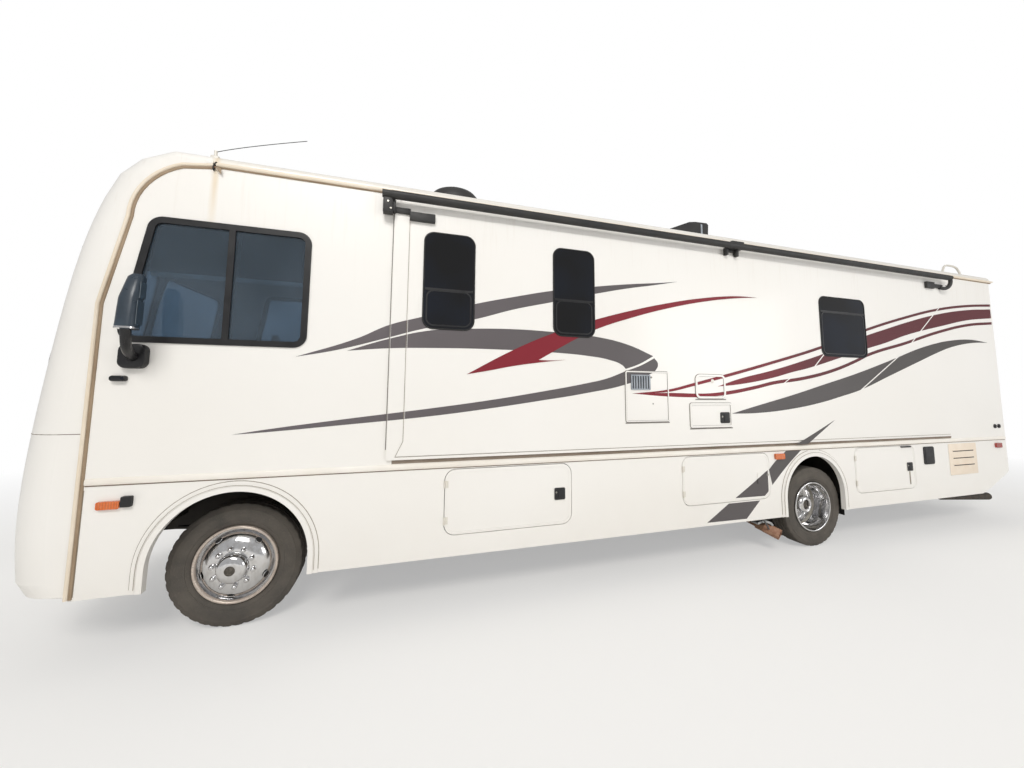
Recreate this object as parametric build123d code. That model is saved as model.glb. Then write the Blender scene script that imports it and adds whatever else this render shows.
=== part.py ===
from build123d import *
import math
import os

os.makedirs("parts", exist_ok=True)

# Driving dimensions in millimetres. X points forward, Y to the driver's side (left), Z up.
# Stations along the vehicle are distances ahead of the front axle, so most are negative.
WHEELBASE = 6147.0
NOSE_AHEAD = 1426.0
TAIL_BEHIND = 10280.0
FRONT_AXLE = (TAIL_BEHIND - NOSE_AHEAD) / 2
HALF_WIDTH = 1283.0
WALL = 50.0
SKIRT_WALL = 40.0
SHELL = 45.0
SKIRT_BOTTOM = 425.0
SKIRT_TOP = 1209.0
DECK_BOTTOM = 1190.0
DECK_TOP = 1250.0
ROOF_BOTTOM = 3630.0
ROOF_EDGE = 3745.0
ROOF_CROWN = 3820.0
ROOF_EDGE_R = 65.0
ROOF_FRONT = 265.0
WALL_REAR = -10130.0
REAR_FACE = -10180.0
REAR_BOTTOM = 710.0
INNER_SKIRT = HALF_WIDTH - SKIRT_WALL
INNER_WALL = HALF_WIDTH - WALL

# Tyres 235/80R22.5 on 22.5 inch rims
TYRE_R = 472.5
TYRE_HALF = 118.0
TREAD_HALF = 98.0
RIM_R = 298.0
RIM_HALF = 110.0
AXLE_Z = TYRE_R
FRONT_TRACK_HALF = 975.0
REAR_OUTER_Y = 1095.0
REAR_INNER_Y = 760.0
KINGPIN_Y = 840.0
TIE_ARM = 180.0
TIE_Z = AXLE_Z - 150.0


def st(x):
    """A station, x millimetres ahead of the front axle, as a place on the part's X axis."""
    return FRONT_AXLE + x


def span(first, second):
    """Two stations as low and high X."""
    return tuple(sorted((st(first), st(second))))


def block(x, y, z):
    """A block between a low and a high limit on each axis."""
    low = [min(pair) for pair in (x, y, z)]
    high = [max(pair) for pair in (x, y, z)]
    size = [b - a for a, b in zip(low, high)]
    middle = [(a + b) / 2 for a, b in zip(low, high)]
    return Pos(*middle) * Box(*size)


def side_plate(outline, y0, y1):
    """An outline in side view (x, z) made solid between y0 and y1."""
    return Pos(0, max(y0, y1), 0) * extrude(Plane.XZ * outline, amount=abs(y1 - y0))


def front_plate(outline, x0, x1):
    """An outline in front view (y, z) made solid between x0 and x1."""
    return Pos(min(x0, x1), 0, 0) * extrude(Plane.YZ * outline, amount=abs(x1 - x0))


def window(x, z, radius, grow=0.0):
    """A rounded rectangle between two stations and two heights."""
    low, high = span(*x)
    shape = RectangleRounded(high - low + 2 * grow, z[1] - z[0] + 2 * grow, radius + grow)
    return Pos((low + high) / 2, (z[0] + z[1]) / 2) * shape


def block_face(x, z):
    """A sharp rectangle between two stations and two heights."""
    low, high = span(*x)
    return Pos((low + high) / 2, (z[0] + z[1]) / 2) * Rectangle(high - low, z[1] - z[0])


def bar(start, end, radius):
    """A straight round bar between two points."""
    way = Vector(*end) - Vector(*start)
    return extrude(Plane(origin=start, z_dir=way) * Circle(radius), amount=way.length)


def both(shape):
    """A shape and its mirror image on the other side of the vehicle."""
    return Compound(list(shape.solids()) + list(mirror(shape, about=Plane.XZ).solids()))


def other_side(shape):
    """The mirror image on the other side of the vehicle."""
    return mirror(shape, about=Plane.XZ)


# Moulded front. The plan at each height has straight sides, round corners and a bowed front.
CAP_CORNER_R = 300.0
CAP_FRONT_R = 7000.0
CAP_BACK = -800.0
# height, nose ahead of the front axle
CAP_FOOT = ((435, 1123), (460, 1338), (550, 1394), (700, 1411))
CAP_FACE = ((700, 1411), (1230, 1422), (1900, 1372), (2690, 1282), (3335, 1141))
CAP_BROW = ((3335, 1141), (3520, 1070), (3650, 958), (3730, 800), (3790, 560), (3840, 240))
CAP_CEILING = 3660.0


def cap_plan(nose, inset):
    """Plan outline of the moulded front at one height, moved inwards by inset."""
    half = HALF_WIDTH - inset
    corner = CAP_CORNER_R - inset
    across = HALF_WIDTH - CAP_CORNER_R
    swing = CAP_FRONT_R - CAP_CORNER_R
    reach = math.sqrt(swing**2 - across**2)
    middle = st(nose) - CAP_FRONT_R
    join_x = middle + (CAP_FRONT_R - inset) * reach / swing
    join_y = (CAP_FRONT_R - inset) * across / swing
    corner_x = middle + reach
    turn = (math.atan2(across, reach) + math.pi / 2) / 2
    mid = (corner_x + corner * math.cos(turn), across + corner * math.sin(turn))
    back = st(CAP_BACK)
    edges = [
        Line((back, half), (corner_x, half)),
        ThreePointArc((corner_x, half), mid, (join_x, join_y)),
        ThreePointArc((join_x, join_y), (st(nose) - inset, 0), (join_x, -join_y)),
        ThreePointArc((join_x, -join_y), (mid[0], -mid[1]), (corner_x, -half)),
        Line((corner_x, -half), (back, -half)),
        Line((back, -half), (back, half)),
    ]
    return make_face(Curve() + edges)


def cap_loft(rows, inset, ruled):
    """One stretch of the moulded front, lofted through its plans."""
    return loft([Pos(0, 0, z) * cap_plan(nose, inset) for z, nose in rows], ruled=ruled)


def roof_section(bottom):
    """Cross-section of the roof: flat underneath, rolled edges and a crowned top."""
    side = ROOF_EDGE - ROOF_EDGE_R
    near = HALF_WIDTH - ROOF_EDGE_R
    slant = ROOF_EDGE_R * math.sin(math.pi / 4)
    edges = [
        Line((-HALF_WIDTH, bottom), (HALF_WIDTH, bottom)),
        Line((HALF_WIDTH, bottom), (HALF_WIDTH, side)),
        ThreePointArc((HALF_WIDTH, side), (near + slant, side + slant), (near, ROOF_EDGE)),
        ThreePointArc((near, ROOF_EDGE), (0, ROOF_CROWN), (-near, ROOF_EDGE)),
        ThreePointArc((-near, ROOF_EDGE), (-near - slant, side + slant), (-HALF_WIDTH, side)),
        Line((-HALF_WIDTH, side), (-HALF_WIDTH, bottom)),
    ]
    return make_face(Curve() + edges)


# The joint between the moulded front and the side wall, in side view, covered by a bead
BEAD_X = 897.0


def bead_path():
    """The joint line from the skirt's foot up and back to the roof."""
    return Curve() + [
        Line((st(BEAD_X), 435), (st(BEAD_X), 2480)),
        ThreePointArc((st(BEAD_X), 2480), (st(858), 2955), (st(735), 3415)),
        ThreePointArc((st(735), 3415), (st(635), 3554), (st(477), 3620)),
        Line((st(477), 3620), (st(ROOF_FRONT), 3650)),
    ]


def behind_bead():
    """Everything behind the joint line, in side view."""
    closing = Polyline(
        (st(ROOF_FRONT), 3650),
        (st(-10600), 3650),
        (st(-10600), 300),
        (st(BEAD_X), 300),
        (st(BEAD_X), 435),
    )
    return make_face(bead_path() + closing)


WINDSCREEN_Z = (1985.0, 3035.0)
WINDSCREEN_Y = (22.0, 1085.0)
HEADLAMP_Y = (700.0, 1050.0)
HEADLAMP_Z = (860.0, 1040.0)
FOGLAMP_Y = 890.0
FOGLAMP_Z = 600.0
GRILLE_Y = 560.0
GRILLE_Z = (800.0, 1120.0)
GRILLE_BARS = 4


def across_outline(y, z, radius, grow=0.0):
    """A rounded rectangle in front view."""
    shape = RectangleRounded(y[1] - y[0] + 2 * grow, z[1] - z[0] + 2 * grow, radius + grow)
    return Pos((y[0] + y[1]) / 2, (z[0] + z[1]) / 2) * shape


def cap_body():
    """The whole lofted form of the moulded front."""
    return cap_loft(CAP_FOOT, 0, True) + cap_loft(CAP_FACE, 0, False) + cap_loft(CAP_BROW, 0, True)


def cap_hollow():
    """The inside of the moulded front, with straight walls between its plans."""
    rows = [(CAP_FOOT[0][0] - 2, CAP_FOOT[0][1])] + list(CAP_FOOT[1:]) + list(CAP_FACE[1:]) + list(CAP_BROW[1:])
    return cap_loft(rows, SHELL, True)


def cap_skin(shallow, deep, stretch):
    """A curved skin that follows the front between two depths below its surface."""
    return cap_loft(stretch, shallow, False) - cap_loft(stretch, deep, False)


def front_cap():
    """Moulded front with its windscreen, grille and lamp openings."""
    outer = cap_body() & front_plate(roof_section(400), st(ROOF_FRONT), st(1500))
    inner = cap_hollow() & block((st(-900), st(1500)), (-1300, 1300), (400, CAP_CEILING))
    shell = outer - inner
    shell -= side_plate(behind_bead(), -1300, 1300)
    holes = [across_outline(WINDSCREEN_Y, WINDSCREEN_Z, 90)]
    holes += [across_outline(HEADLAMP_Y, HEADLAMP_Z, 60), Pos(FOGLAMP_Y, FOGLAMP_Z) * Circle(60)]
    for hole in holes:
        cutter = front_plate(hole, st(800), st(1500))
        shell -= cutter
        shell -= other_side(cutter)
    opening = front_plate(across_outline((-GRILLE_Y, GRILLE_Y), GRILLE_Z, 70), st(800), st(1500))
    pitch = (GRILLE_Z[1] - GRILLE_Z[0]) / (GRILLE_BARS + 1)
    for row in range(GRILLE_BARS):
        z = GRILLE_Z[0] + pitch * (row + 1)
        opening -= block((st(800), st(1500)), (-GRILLE_Y, GRILLE_Y), (z - 14, z + 14))
    return shell - opening


def windscreen():
    """Two curved panes, set in from the surface of the moulded front."""
    skin = cap_skin(8, 16, CAP_FACE)
    pane = skin & front_plate(across_outline(WINDSCREEN_Y, WINDSCREEN_Z, 90, -4), st(800), st(1500))
    return both(pane)


ROOF_TAIL_R = 100.0


def roof_shell():
    """Roof with rolled long edges, rounded off at the rear in side view."""
    prism = front_plate(roof_section(ROOF_BOTTOM), st(REAR_FACE), st(ROOF_FRONT))
    middle = (st(REAR_FACE) + ROOF_TAIL_R, ROOF_CROWN - ROOF_TAIL_R)
    square = Pos(middle[0] - ROOF_TAIL_R / 2, middle[1] + ROOF_TAIL_R / 2) * Rectangle(ROOF_TAIL_R, ROOF_TAIL_R)
    return prism - side_plate(square - Pos(*middle) * Circle(ROOF_TAIL_R), -HALF_WIDTH, HALF_WIDTH)


# Side windows in black frames. name: front station, rear station, low, high, corner radius
FRAME_WIDTH = 48.0
FRAME_PROUD = 10.0
RIGHT_WINDOWS = (
    (-2050, -2950, 2330, 3060, 90),
    (-3450, -4350, 2420, 3060, 90),
    (-6150, -6600, 2520, 3060, 90),
    (-7650, -8650, 2380, 3060, 90),
)
REAR_WINDOW_Y = (-620.0, 380.0)
REAR_WINDOW_Z = (2330.0, 2880.0)


def cab_window(grow):
    """Outline of a cab side window, with its slanted front edge, grown or shrunk."""
    corners = [(-459, 2205), (794, 2205), (648, 3178), (-459, 3178)]
    shape = make_face(Polyline(*[(st(x), z) for x, z in corners], close=True))
    shape = fillet(shape.vertices(), 100)
    return offset(shape, amount=grow) if grow else shape


def framed(outer, inner):
    """A frame and its pane of glass for one side window on the left."""
    frame = side_plate(outer, INNER_WALL, HALF_WIDTH + FRAME_PROUD) - side_plate(inner, 1200, 1300)
    pane = side_plate(inner, HALF_WIDTH - 12, HALF_WIDTH - 4)
    return frame, pane


def side_windows():
    """Frames and glass of the cab windows and of the windows on the door side."""
    outer = cab_window(0)
    inner = cab_window(-FRAME_WIDTH)
    post = Pos(st(112), 2690) * Rectangle(45, 1000)
    frame, pane = framed(outer, inner - post)
    frames = list(both(frame).solids())
    panes = list(both(pane).solids())
    for front, rear, low, high, radius in RIGHT_WINDOWS:
        around = window((front, rear), (low, high), radius)
        within = window((front, rear), (low, high), radius, -FRAME_WIDTH)
        frame, pane = framed(around, within)
        frames += other_side(frame).solids()
        panes += other_side(pane).solids()
    rear_outer = across_outline(REAR_WINDOW_Y, REAR_WINDOW_Z, 90)
    rear_inner = across_outline(REAR_WINDOW_Y, REAR_WINDOW_Z, 90, -FRAME_WIDTH)
    rear = front_plate(rear_outer, st(REAR_FACE) - FRAME_PROUD, st(WALL_REAR))
    frames += (rear - front_plate(rear_inner, st(REAR_FACE) - 30, st(0))).solids()
    panes += front_plate(rear_inner, st(REAR_FACE) + 4, st(REAR_FACE) + 12).solids()
    return Compound(frames), Compound(panes)


# Slide-out room on the driver's side
SLIDE_OPEN_X = (-1160.0, -8765.0)
SLIDE_OPEN_Z = (1300.0, 3520.0)
SLIDE_GAP = 15.0
SLIDE_FLANGE_X = (-1114.0, -8816.0)
SLIDE_FLANGE_Z = (1274.0, 3548.0)
SLIDE_FLANGE_Y = (1289.0, 1307.0)
SLIDE_PANEL_X = (-1253.0, -8694.0)
SLIDE_PANEL_Z = (1306.0, 3484.0)
SLIDE_FACE = 1317.0
SLIDE_WALL = 50.0
SLIDE_SIDE = 40.0
SLIDE_INNER = 575.0
# front station, rear station, low, high
SLIDE_WINDOWS = (
    (-1374, -1849, 2414, 3315),
    (-2634, -3098, 2409, 3315),
    (-6298, -7140, 2335, 3117),
)
SLIDE_WINDOW_R = 95.0
# front station, rear station, low, high, corner radius
SLIDE_HATCHES = (
    (-3438, -3967, 1559, 2085, 20),
    (-4324, -4736, 1801, 2068, 60),
    (-4239, -4814, 1484, 1751, 25),
)


def slide_room():
    """Slide-out room: outer wall in a flange, ends, floor and ceiling, open to the cabin."""
    gap = SLIDE_GAP
    room_x = (SLIDE_OPEN_X[0] - gap, SLIDE_OPEN_X[1] + gap)
    room_z = (SLIDE_OPEN_Z[0] + gap, SLIDE_OPEN_Z[1] - gap)
    room = block(span(*room_x), (SLIDE_INNER, SLIDE_FACE - 10), room_z)
    hollow_x = (room_x[0] - SLIDE_SIDE, room_x[1] + SLIDE_SIDE)
    hollow_z = (room_z[0] + SLIDE_SIDE, room_z[1] - SLIDE_SIDE)
    room -= block(span(*hollow_x), (SLIDE_INNER - 10, SLIDE_FACE - SLIDE_WALL), hollow_z)
    room += block(span(*SLIDE_FLANGE_X), SLIDE_FLANGE_Y, SLIDE_FLANGE_Z)
    front, rear = st(SLIDE_PANEL_X[0]), st(SLIDE_PANEL_X[1])
    low, high = SLIDE_PANEL_Z
    corners = [(front, high), (front, low + 130), (front + 63, low), (rear - 60, low), (rear, low + 130)]
    panel = make_face(Polyline(*corners, (rear, high), close=True))
    room += side_plate(panel, SLIDE_FLANGE_Y[0], SLIDE_FACE)
    for x0, x1, z0, z1, radius in SLIDE_HATCHES:
        room += side_plate(window((x0, x1), (z0, z1), radius), SLIDE_FACE - 5, SLIDE_FACE + 5)
    for x0, x1, z0, z1 in SLIDE_WINDOWS:
        room -= side_plate(window((x0, x1), (z0, z1), SLIDE_WINDOW_R), 1200, 1340)
    return room


def slide_windows():
    """Frameless black glass in the slide-out's outer wall."""
    panes = []
    for x0, x1, z0, z1 in SLIDE_WINDOWS:
        panes += side_plate(window((x0, x1), (z0, z1), SLIDE_WINDOW_R), 1307, 1321).solids()
    return Compound(panes)


TOPPER_Y = 1375.0
TOPPER_Z = 3585.0
TOPPER_R = 34.0
TOPPER_X = (-1006.0, -8970.0)


def slide_topper():
    """Awning roller over the slide-out, with its end and middle brackets."""
    roller = bar((st(TOPPER_X[0]), TOPPER_Y, TOPPER_Z), (st(TOPPER_X[1]), TOPPER_Y, TOPPER_Z), TOPPER_R)
    whole = roller
    for x0, x1, drop in ((-1010, -1075, 3470), (-4780, -5050, 3490), (-8900, -8965, 3440)):
        whole += block(span(x0, x1), (SLIDE_FLANGE_Y[1], TOPPER_Y), (drop, TOPPER_Z + 20))
    for x0, x1 in ((-1250, -1465), (-8430, -8750)):
        whole += block(span(x0, x1), (SLIDE_FACE, SLIDE_FACE + 30), (3420, 3500))
    whole += block(span(-1010, -1250), (SLIDE_FLANGE_Y[1], 1325), (3490, 3540))
    whole += block(span(-8730, -8965), (SLIDE_FLANGE_Y[1], 1325), (3440, 3540))
    return whole


# Wheel arches in the skirts: middle station, half width, top
FRONT_ARCH = (-32.0, 522.0, 1090.0)
REAR_ARCH = (-6090.0, 480.0, 1100.0)
FLARE_WIDTH = 75.0
FLARE_PROUD = 14.0
# Luggage doors: front station, rear station, low, high
DOOR_R = 100.0
DOOR_GAP = 6.0
LEFT_BAYS = ((-1610, -2840, 600, 1172), (-4140, -5370, 650, 1172), (-6800, -7980, 600, 1172))
RIGHT_BAYS = ((-3900, -5370, 620, 1172), (-6800, -7980, 600, 1172))
ENTRY_X = (-930.0, -1650.0)
ENTRY_Z = (600.0, 2680.0)
ENTRY_R = 70.0
INLET = ((-8170, -8390), (900, 1140), 15)
LOUVRE = ((-8720, -9370), (720, 1165), 15)


def arch_outline(arch, grow):
    """A wheel arch in side view: straight legs under a half circle."""
    middle, half, top = arch
    radius = half + grow
    centre_z = top - half
    legs = Pos(st(middle), (centre_z + 200) / 2) * Rectangle(2 * radius, centre_z - 200)
    return Pos(st(middle), centre_z) * Circle(radius) + legs


def skirt_outline():
    """Side view of a skirt, with its rising tail."""
    tail = Polyline(
        (st(BEAD_X), SKIRT_BOTTOM),
        (st(BEAD_X), SKIRT_TOP),
        (st(WALL_REAR), SKIRT_TOP),
        (st(WALL_REAR), REAR_BOTTOM - 18),
        (st(-9680), 500),
        (st(-9450), SKIRT_BOTTOM),
        close=True,
    )
    return make_face(tail)


def skirt(bays):
    """One skirt on the left side, with arches, flares and door openings."""
    sheet = side_plate(skirt_outline(), INNER_SKIRT, HALF_WIDTH)
    foot = side_plate(skirt_outline(), INNER_SKIRT, HALF_WIDTH + 30)
    for arch in (FRONT_ARCH, REAR_ARCH):
        sheet += side_plate(arch_outline(arch, FLARE_WIDTH), INNER_SKIRT, HALF_WIDTH + 6) & foot
        sheet += side_plate(arch_outline(arch, FLARE_WIDTH / 2), INNER_SKIRT, HALF_WIDTH + FLARE_PROUD) & foot
        sheet -= side_plate(arch_outline(arch, 0), 1200, 1320)
    for x0, x1, z0, z1 in bays:
        sheet -= side_plate(window((x0, x1), (z0, z1), DOOR_R), 1200, 1320)
    return sheet


def left_skirt():
    """Driver's side skirt with its power inlet recess and louvred panel."""
    sheet = skirt(LEFT_BAYS)
    sheet -= side_plate(window(*INLET), HALF_WIDTH - 25, 1320)
    sheet += side_plate(window(*LOUVRE), HALF_WIDTH, HALF_WIDTH + 5)
    for z in (857, 957, 1055):
        slot = window((-8780, -9330), (z - 12, z + 12), 11)
        sheet -= side_plate(slot, HALF_WIDTH - 20, 1320)
    return sheet


def right_skirt():
    """Door side skirt, cut for the entry door."""
    sheet = other_side(skirt(RIGHT_BAYS))
    return sheet - other_side(side_plate(window(ENTRY_X, ENTRY_Z, ENTRY_R), 1200, 1320))


def wall_outline():
    """Side view of a side wall above the belt line."""
    x0, x1 = st(WALL_REAR), st(BEAD_X)
    box = Pos((x0 + x1) / 2, (SKIRT_TOP + ROOF_BOTTOM) / 2) * Rectangle(x1 - x0, ROOF_BOTTOM - SKIRT_TOP)
    return box & behind_bead()


# Gap between the wall's panels, hidden under the slide-out's flange
PANEL_GAP = 2.0


def left_wall():
    """Driver's side wall in four panels: round the cab window, over, under and behind the slide-out."""
    outline = wall_outline() - cab_window(0)
    front, rear = SLIDE_OPEN_X
    low, high = SLIDE_OPEN_Z
    outline -= block_face((front, rear), (low, high))
    for x in (front, rear):
        outline -= block_face((x + PANEL_GAP / 2, x - PANEL_GAP / 2), (SKIRT_TOP - 10, ROOF_BOTTOM + 10))
    return side_plate(outline, INNER_WALL, HALF_WIDTH)


def right_wall():
    """Door side wall with its window and door openings."""
    outline = wall_outline() - cab_window(0) - window(ENTRY_X, ENTRY_Z, ENTRY_R)
    for front, rear, low, high, radius in RIGHT_WINDOWS:
        outline -= window((front, rear), (low, high), radius)
    return other_side(side_plate(outline, INNER_WALL, HALF_WIDTH))


def rear_cap():
    """Rear panel with its window opening."""
    x = (st(REAR_FACE), st(WALL_REAR))
    panel = block(x, (-HALF_WIDTH, HALF_WIDTH), (REAR_BOTTOM, ROOF_BOTTOM))
    edges = panel.edges().filter_by(Axis.Z).sort_by(Axis.X)[:2]
    panel = fillet(edges, 30)
    return panel - front_plate(across_outline(REAR_WINDOW_Y, REAR_WINDOW_Z, 90), *x)


BELT_Z = (1183.0, 1235.0)
RAIL_Z = (3630.0, 3675.0)


def trim_mouldings():
    """Beads over the front joints, belt mouldings and roof rails on both sides."""
    bead = side_plate(trace(bead_path(), 45), HALF_WIDTH, HALF_WIDTH + 17)
    rail = block(span(ROOF_FRONT, -10250), (HALF_WIDTH, HALF_WIDTH + 20), RAIL_Z)
    bead -= rail
    solids = list(both(bead).solids()) + list(both(rail).solids())
    belt_y = (HALF_WIDTH, HALF_WIDTH + 14)
    solids += block(span(870, WALL_REAR), belt_y, BELT_Z).solids()
    door_front, door_rear = ENTRY_X
    for x in ((870, door_front + 12), (door_rear - 12, WALL_REAR)):
        solids += other_side(block(span(*x), belt_y, BELT_Z)).solids()
    return Compound(solids)


def bay_door(bay):
    """One luggage door on the left, with its raised latch plate at the rear edge."""
    x0, x1, z0, z1 = bay
    slab = side_plate(window((x0, x1), (z0, z1), DOOR_R, -DOOR_GAP), INNER_SKIRT, HALF_WIDTH)
    latch = window((x1 + 70, x1 + 190), (830, 950), 12)
    return slab + side_plate(latch, HALF_WIDTH, HALF_WIDTH + 8)


def entry_door():
    """Entry door with its window, grab handle and belt moulding."""
    slab = side_plate(window(ENTRY_X, ENTRY_Z, ENTRY_R, -DOOR_GAP), INNER_SKIRT, HALF_WIDTH)
    glass = window((-1050, -1530), (1900, 2560), 80)
    slab -= side_plate(glass, 1200, 1320)
    slab += block(span(-950, -1630), (HALF_WIDTH, HALF_WIDTH + 14), BELT_Z)
    slab += side_plate(window((-1540, -1620), (1500, 1650), 15), HALF_WIDTH, HALF_WIDTH + 12)
    pane = side_plate(glass, HALF_WIDTH - 14, HALF_WIDTH - 6)
    return other_side(Compound(list(slab.solids()) + list(pane.solids())))


BOX_SHEET = 15.0
BOX_INNER_Y = 520.0
BOX_BOTTOM = 470.0


def luggage_box(bay):
    """A compartment behind a luggage door on the left, open to the outside."""
    x0, x1, z0, z1 = bay
    outside = block(span(x0 + 30, x1 - 30), (BOX_INNER_Y, INNER_SKIRT), (BOX_BOTTOM, DECK_BOTTOM))
    t = BOX_SHEET
    inside = block(
        span(x0 + 30 - t, x1 - 30 + t),
        (BOX_INNER_Y + t, INNER_SKIRT + 10),
        (BOX_BOTTOM + t, DECK_BOTTOM - t),
    )
    return outside - inside


def underfloor_boxes():
    """Luggage compartments on both sides and the fuel tank behind the rear axle."""
    solids = []
    for bay in LEFT_BAYS:
        solids += luggage_box(bay).solids()
    for bay in RIGHT_BAYS:
        solids += other_side(luggage_box(bay)).solids()
    tank = block(span(-7000, -8500), (-330, 330), (480, 1000))
    tank = fillet(tank.edges().filter_by(Axis.X), 90)
    solids += tank.solids()
    return Compound(solids)


STAIR_X = (-940.0, -1640.0)
# Nose of the moulded front at the cab floor, which reaches to its inside
CAB_FLOOR_NOSE = 1418.0


def floor_deck():
    """Floor from the moulded front to the tail, with the step well behind the entry door."""
    deck = block(span(850, WALL_REAR), (-INNER_WALL + 5, INNER_WALL - 5), (DECK_BOTTOM, DECK_TOP))
    cab = extrude(Pos(0, 0, DECK_BOTTOM) * cap_plan(CAB_FLOOR_NOSE, SHELL + 8), amount=DECK_TOP - DECK_BOTTOM)
    deck += cab & block(span(850, 1500), (-INNER_WALL + 5, INNER_WALL - 5), (DECK_BOTTOM, DECK_TOP))
    deck -= block(span(*STAIR_X), (-1300, -760), (1100, 1300))
    well = block(span(STAIR_X[0] + 30, STAIR_X[1] - 30), (-INNER_SKIRT, -730), (560, DECK_BOTTOM))
    well -= block(span(*STAIR_X), (-1300, -1000), (590, 1300))
    well -= block(span(*STAIR_X), (-1300, -760), (890, 1300))
    return deck + well


RAIL_OUT = 432.0
FRAME_Z = (620.0, 860.0)


def channel(x, y_web, z, flange, sheet, facing):
    """A C-section rail: a web with an upper and a lower flange towards the middle."""
    web = block(x, (y_web, y_web - facing * sheet), z)
    top = block(x, (y_web, y_web - facing * flange), (z[1] - sheet, z[1]))
    low = block(x, (y_web, y_web - facing * flange), (z[0], z[0] + sheet))
    return web + top + low


LEAF = 22.0
SPRING_HALF_WIDTH = 38.0
SPRING_SEAT_Z = AXLE_Z + 62.0
SPRING_EYE_Z = 604.0
# Stations of the outriggers that carry the body beside the frame, left and right
OUTRIGGERS = (
    (1, (-1480, -3100, -3750, -5440, -6740, -8100, -9300, -9750)),
    (-1, (-1750, -3100, -3750, -5440, -6740, -8100, -9300, -9750)),
)
CROSSMEMBERS = (1000, -1150, -2600, -4100, -5300, -6900, -8650, -9900)


def leaf_spring(middle, half, y):
    """A leaf spring pack on the left: a long main leaf, a shorter one under it, and hangers."""
    sides = (y - SPRING_HALF_WIDTH, y + SPRING_HALF_WIDTH)
    x = st(middle)
    low = SPRING_SEAT_Z + 1.5 * LEAF
    main = ThreePointArc((x + half, SPRING_EYE_Z), (x, low), (x - half, SPRING_EYE_Z))
    pack = side_plate(trace(main, LEAF), *sides)
    reach = half * 0.55
    rise = (SPRING_EYE_Z - low) * 0.55**2
    helper = ThreePointArc((x + reach, low + rise - LEAF), (x, low - LEAF), (x - reach, low + rise - LEAF))
    pack += side_plate(trace(helper, LEAF), *sides)
    for end in (x + half, x - half):
        pack += block((end - 35, end + 35), sides, (SPRING_EYE_Z - 12, FRAME_Z[0]))
    return pack


def chassis_frame():
    """Ladder frame with crossmembers and leaf springs."""
    rail = channel(span(1050, -9950), RAIL_OUT, FRAME_Z, 75, 8, 1)
    frame = rail + other_side(rail)
    for x in CROSSMEMBERS:
        frame += block(span(x + 40, x - 40), (-RAIL_OUT + 8, RAIL_OUT - 8), (670, 800))
    for middle, half in ((0.0, 740.0), (-WHEELBASE, 790.0)):
        spring = leaf_spring(middle, half, RAIL_OUT - SPRING_HALF_WIDTH)
        frame += spring
        frame += other_side(spring)
    return frame


def outriggers():
    """Square tubes from the frame out to the skirts."""
    solids = []
    for side, stations in OUTRIGGERS:
        for x in stations:
            y = (side * RAIL_OUT, side * (INNER_SKIRT - 1))
            solids += block(span(x + 30, x - 30), y, (FRAME_Z[1] - 60, FRAME_Z[1])).solids()
    return Compound(solids)


AXLE_TUBE_R = 58.0
BOWL_HALF = 130.0


def axles():
    """Dropped front axle beam with kingpin bosses, and the rear axle housing."""
    path = Polyline(
        (-KINGPIN_Y, AXLE_Z),
        (-KINGPIN_Y + 110, AXLE_Z - 20),
        (-RAIL_OUT - 60, AXLE_Z - 5),
        (RAIL_OUT + 60, AXLE_Z - 5),
        (KINGPIN_Y - 110, AXLE_Z - 20),
        (KINGPIN_Y, AXLE_Z),
    )
    beam = front_plate(trace(path, 90), st(-38), st(38))
    for side in (1, -1):
        y = side * KINGPIN_Y
        boss = bar((st(0), y, AXLE_Z - 70), (st(0), y, AXLE_Z + 70), 46)
        beam += boss
    for side in (1, -1):
        y = side * KINGPIN_Y
        beam -= bar((st(0), y, AXLE_Z - 90), (st(0), y, AXLE_Z + 90), 24)
    tube = bar((st(-WHEELBASE), -905, AXLE_Z), (st(-WHEELBASE), 905, AXLE_Z), AXLE_TUBE_R)
    bowl = Pos(st(-WHEELBASE), 0, AXLE_Z) * Rot(0, 90, 0) * Cylinder(205, 2 * BOWL_HALF)
    housing = tube + fillet(bowl.edges(), 60)
    seat_y = (RAIL_OUT - 2 * SPRING_HALF_WIDTH, RAIL_OUT)
    for side in (1, -1):
        y = (side * seat_y[0], side * seat_y[1])
        beam += block((st(-60), st(60)), y, (AXLE_Z, SPRING_SEAT_Z))
        housing += block(span(-WHEELBASE + 70, -WHEELBASE - 70), y, (AXLE_Z, SPRING_SEAT_Z))
    return Compound(list(beam.solids()) + list(housing.solids()))


def knuckle():
    """Left steering knuckle: fork, kingpin, spindle and steering arm."""
    pin = bar((st(0), KINGPIN_Y, AXLE_Z - 100), (st(0), KINGPIN_Y, AXLE_Z + 100), 22)
    body = pin
    for low, high in ((-108, -74), (74, 108)):
        body += bar((st(0), KINGPIN_Y, AXLE_Z + low), (st(0), KINGPIN_Y, AXLE_Z + high), 48)
        body += block((st(-45), st(45)), (KINGPIN_Y, KINGPIN_Y + 85), (AXLE_Z + low, AXLE_Z + high))
    body += block((st(-50), st(50)), (KINGPIN_Y + 55, KINGPIN_Y + 90), (AXLE_Z - 108, AXLE_Z + 108))
    body += bar((st(0), KINGPIN_Y + 80, AXLE_Z), (st(0), KINGPIN_Y + 290, AXLE_Z), 38)
    body += block((st(-TIE_ARM), st(-30)), (KINGPIN_Y - 16, KINGPIN_Y + 30), (AXLE_Z - 108, AXLE_Z - 82))
    body += bar((st(-TIE_ARM), KINGPIN_Y, AXLE_Z - 108), (st(-TIE_ARM), KINGPIN_Y, AXLE_Z - 82), 30)
    return body - bar((st(-TIE_ARM), KINGPIN_Y, AXLE_Z - 120), (st(-TIE_ARM), KINGPIN_Y, AXLE_Z - 70), 11)


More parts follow.
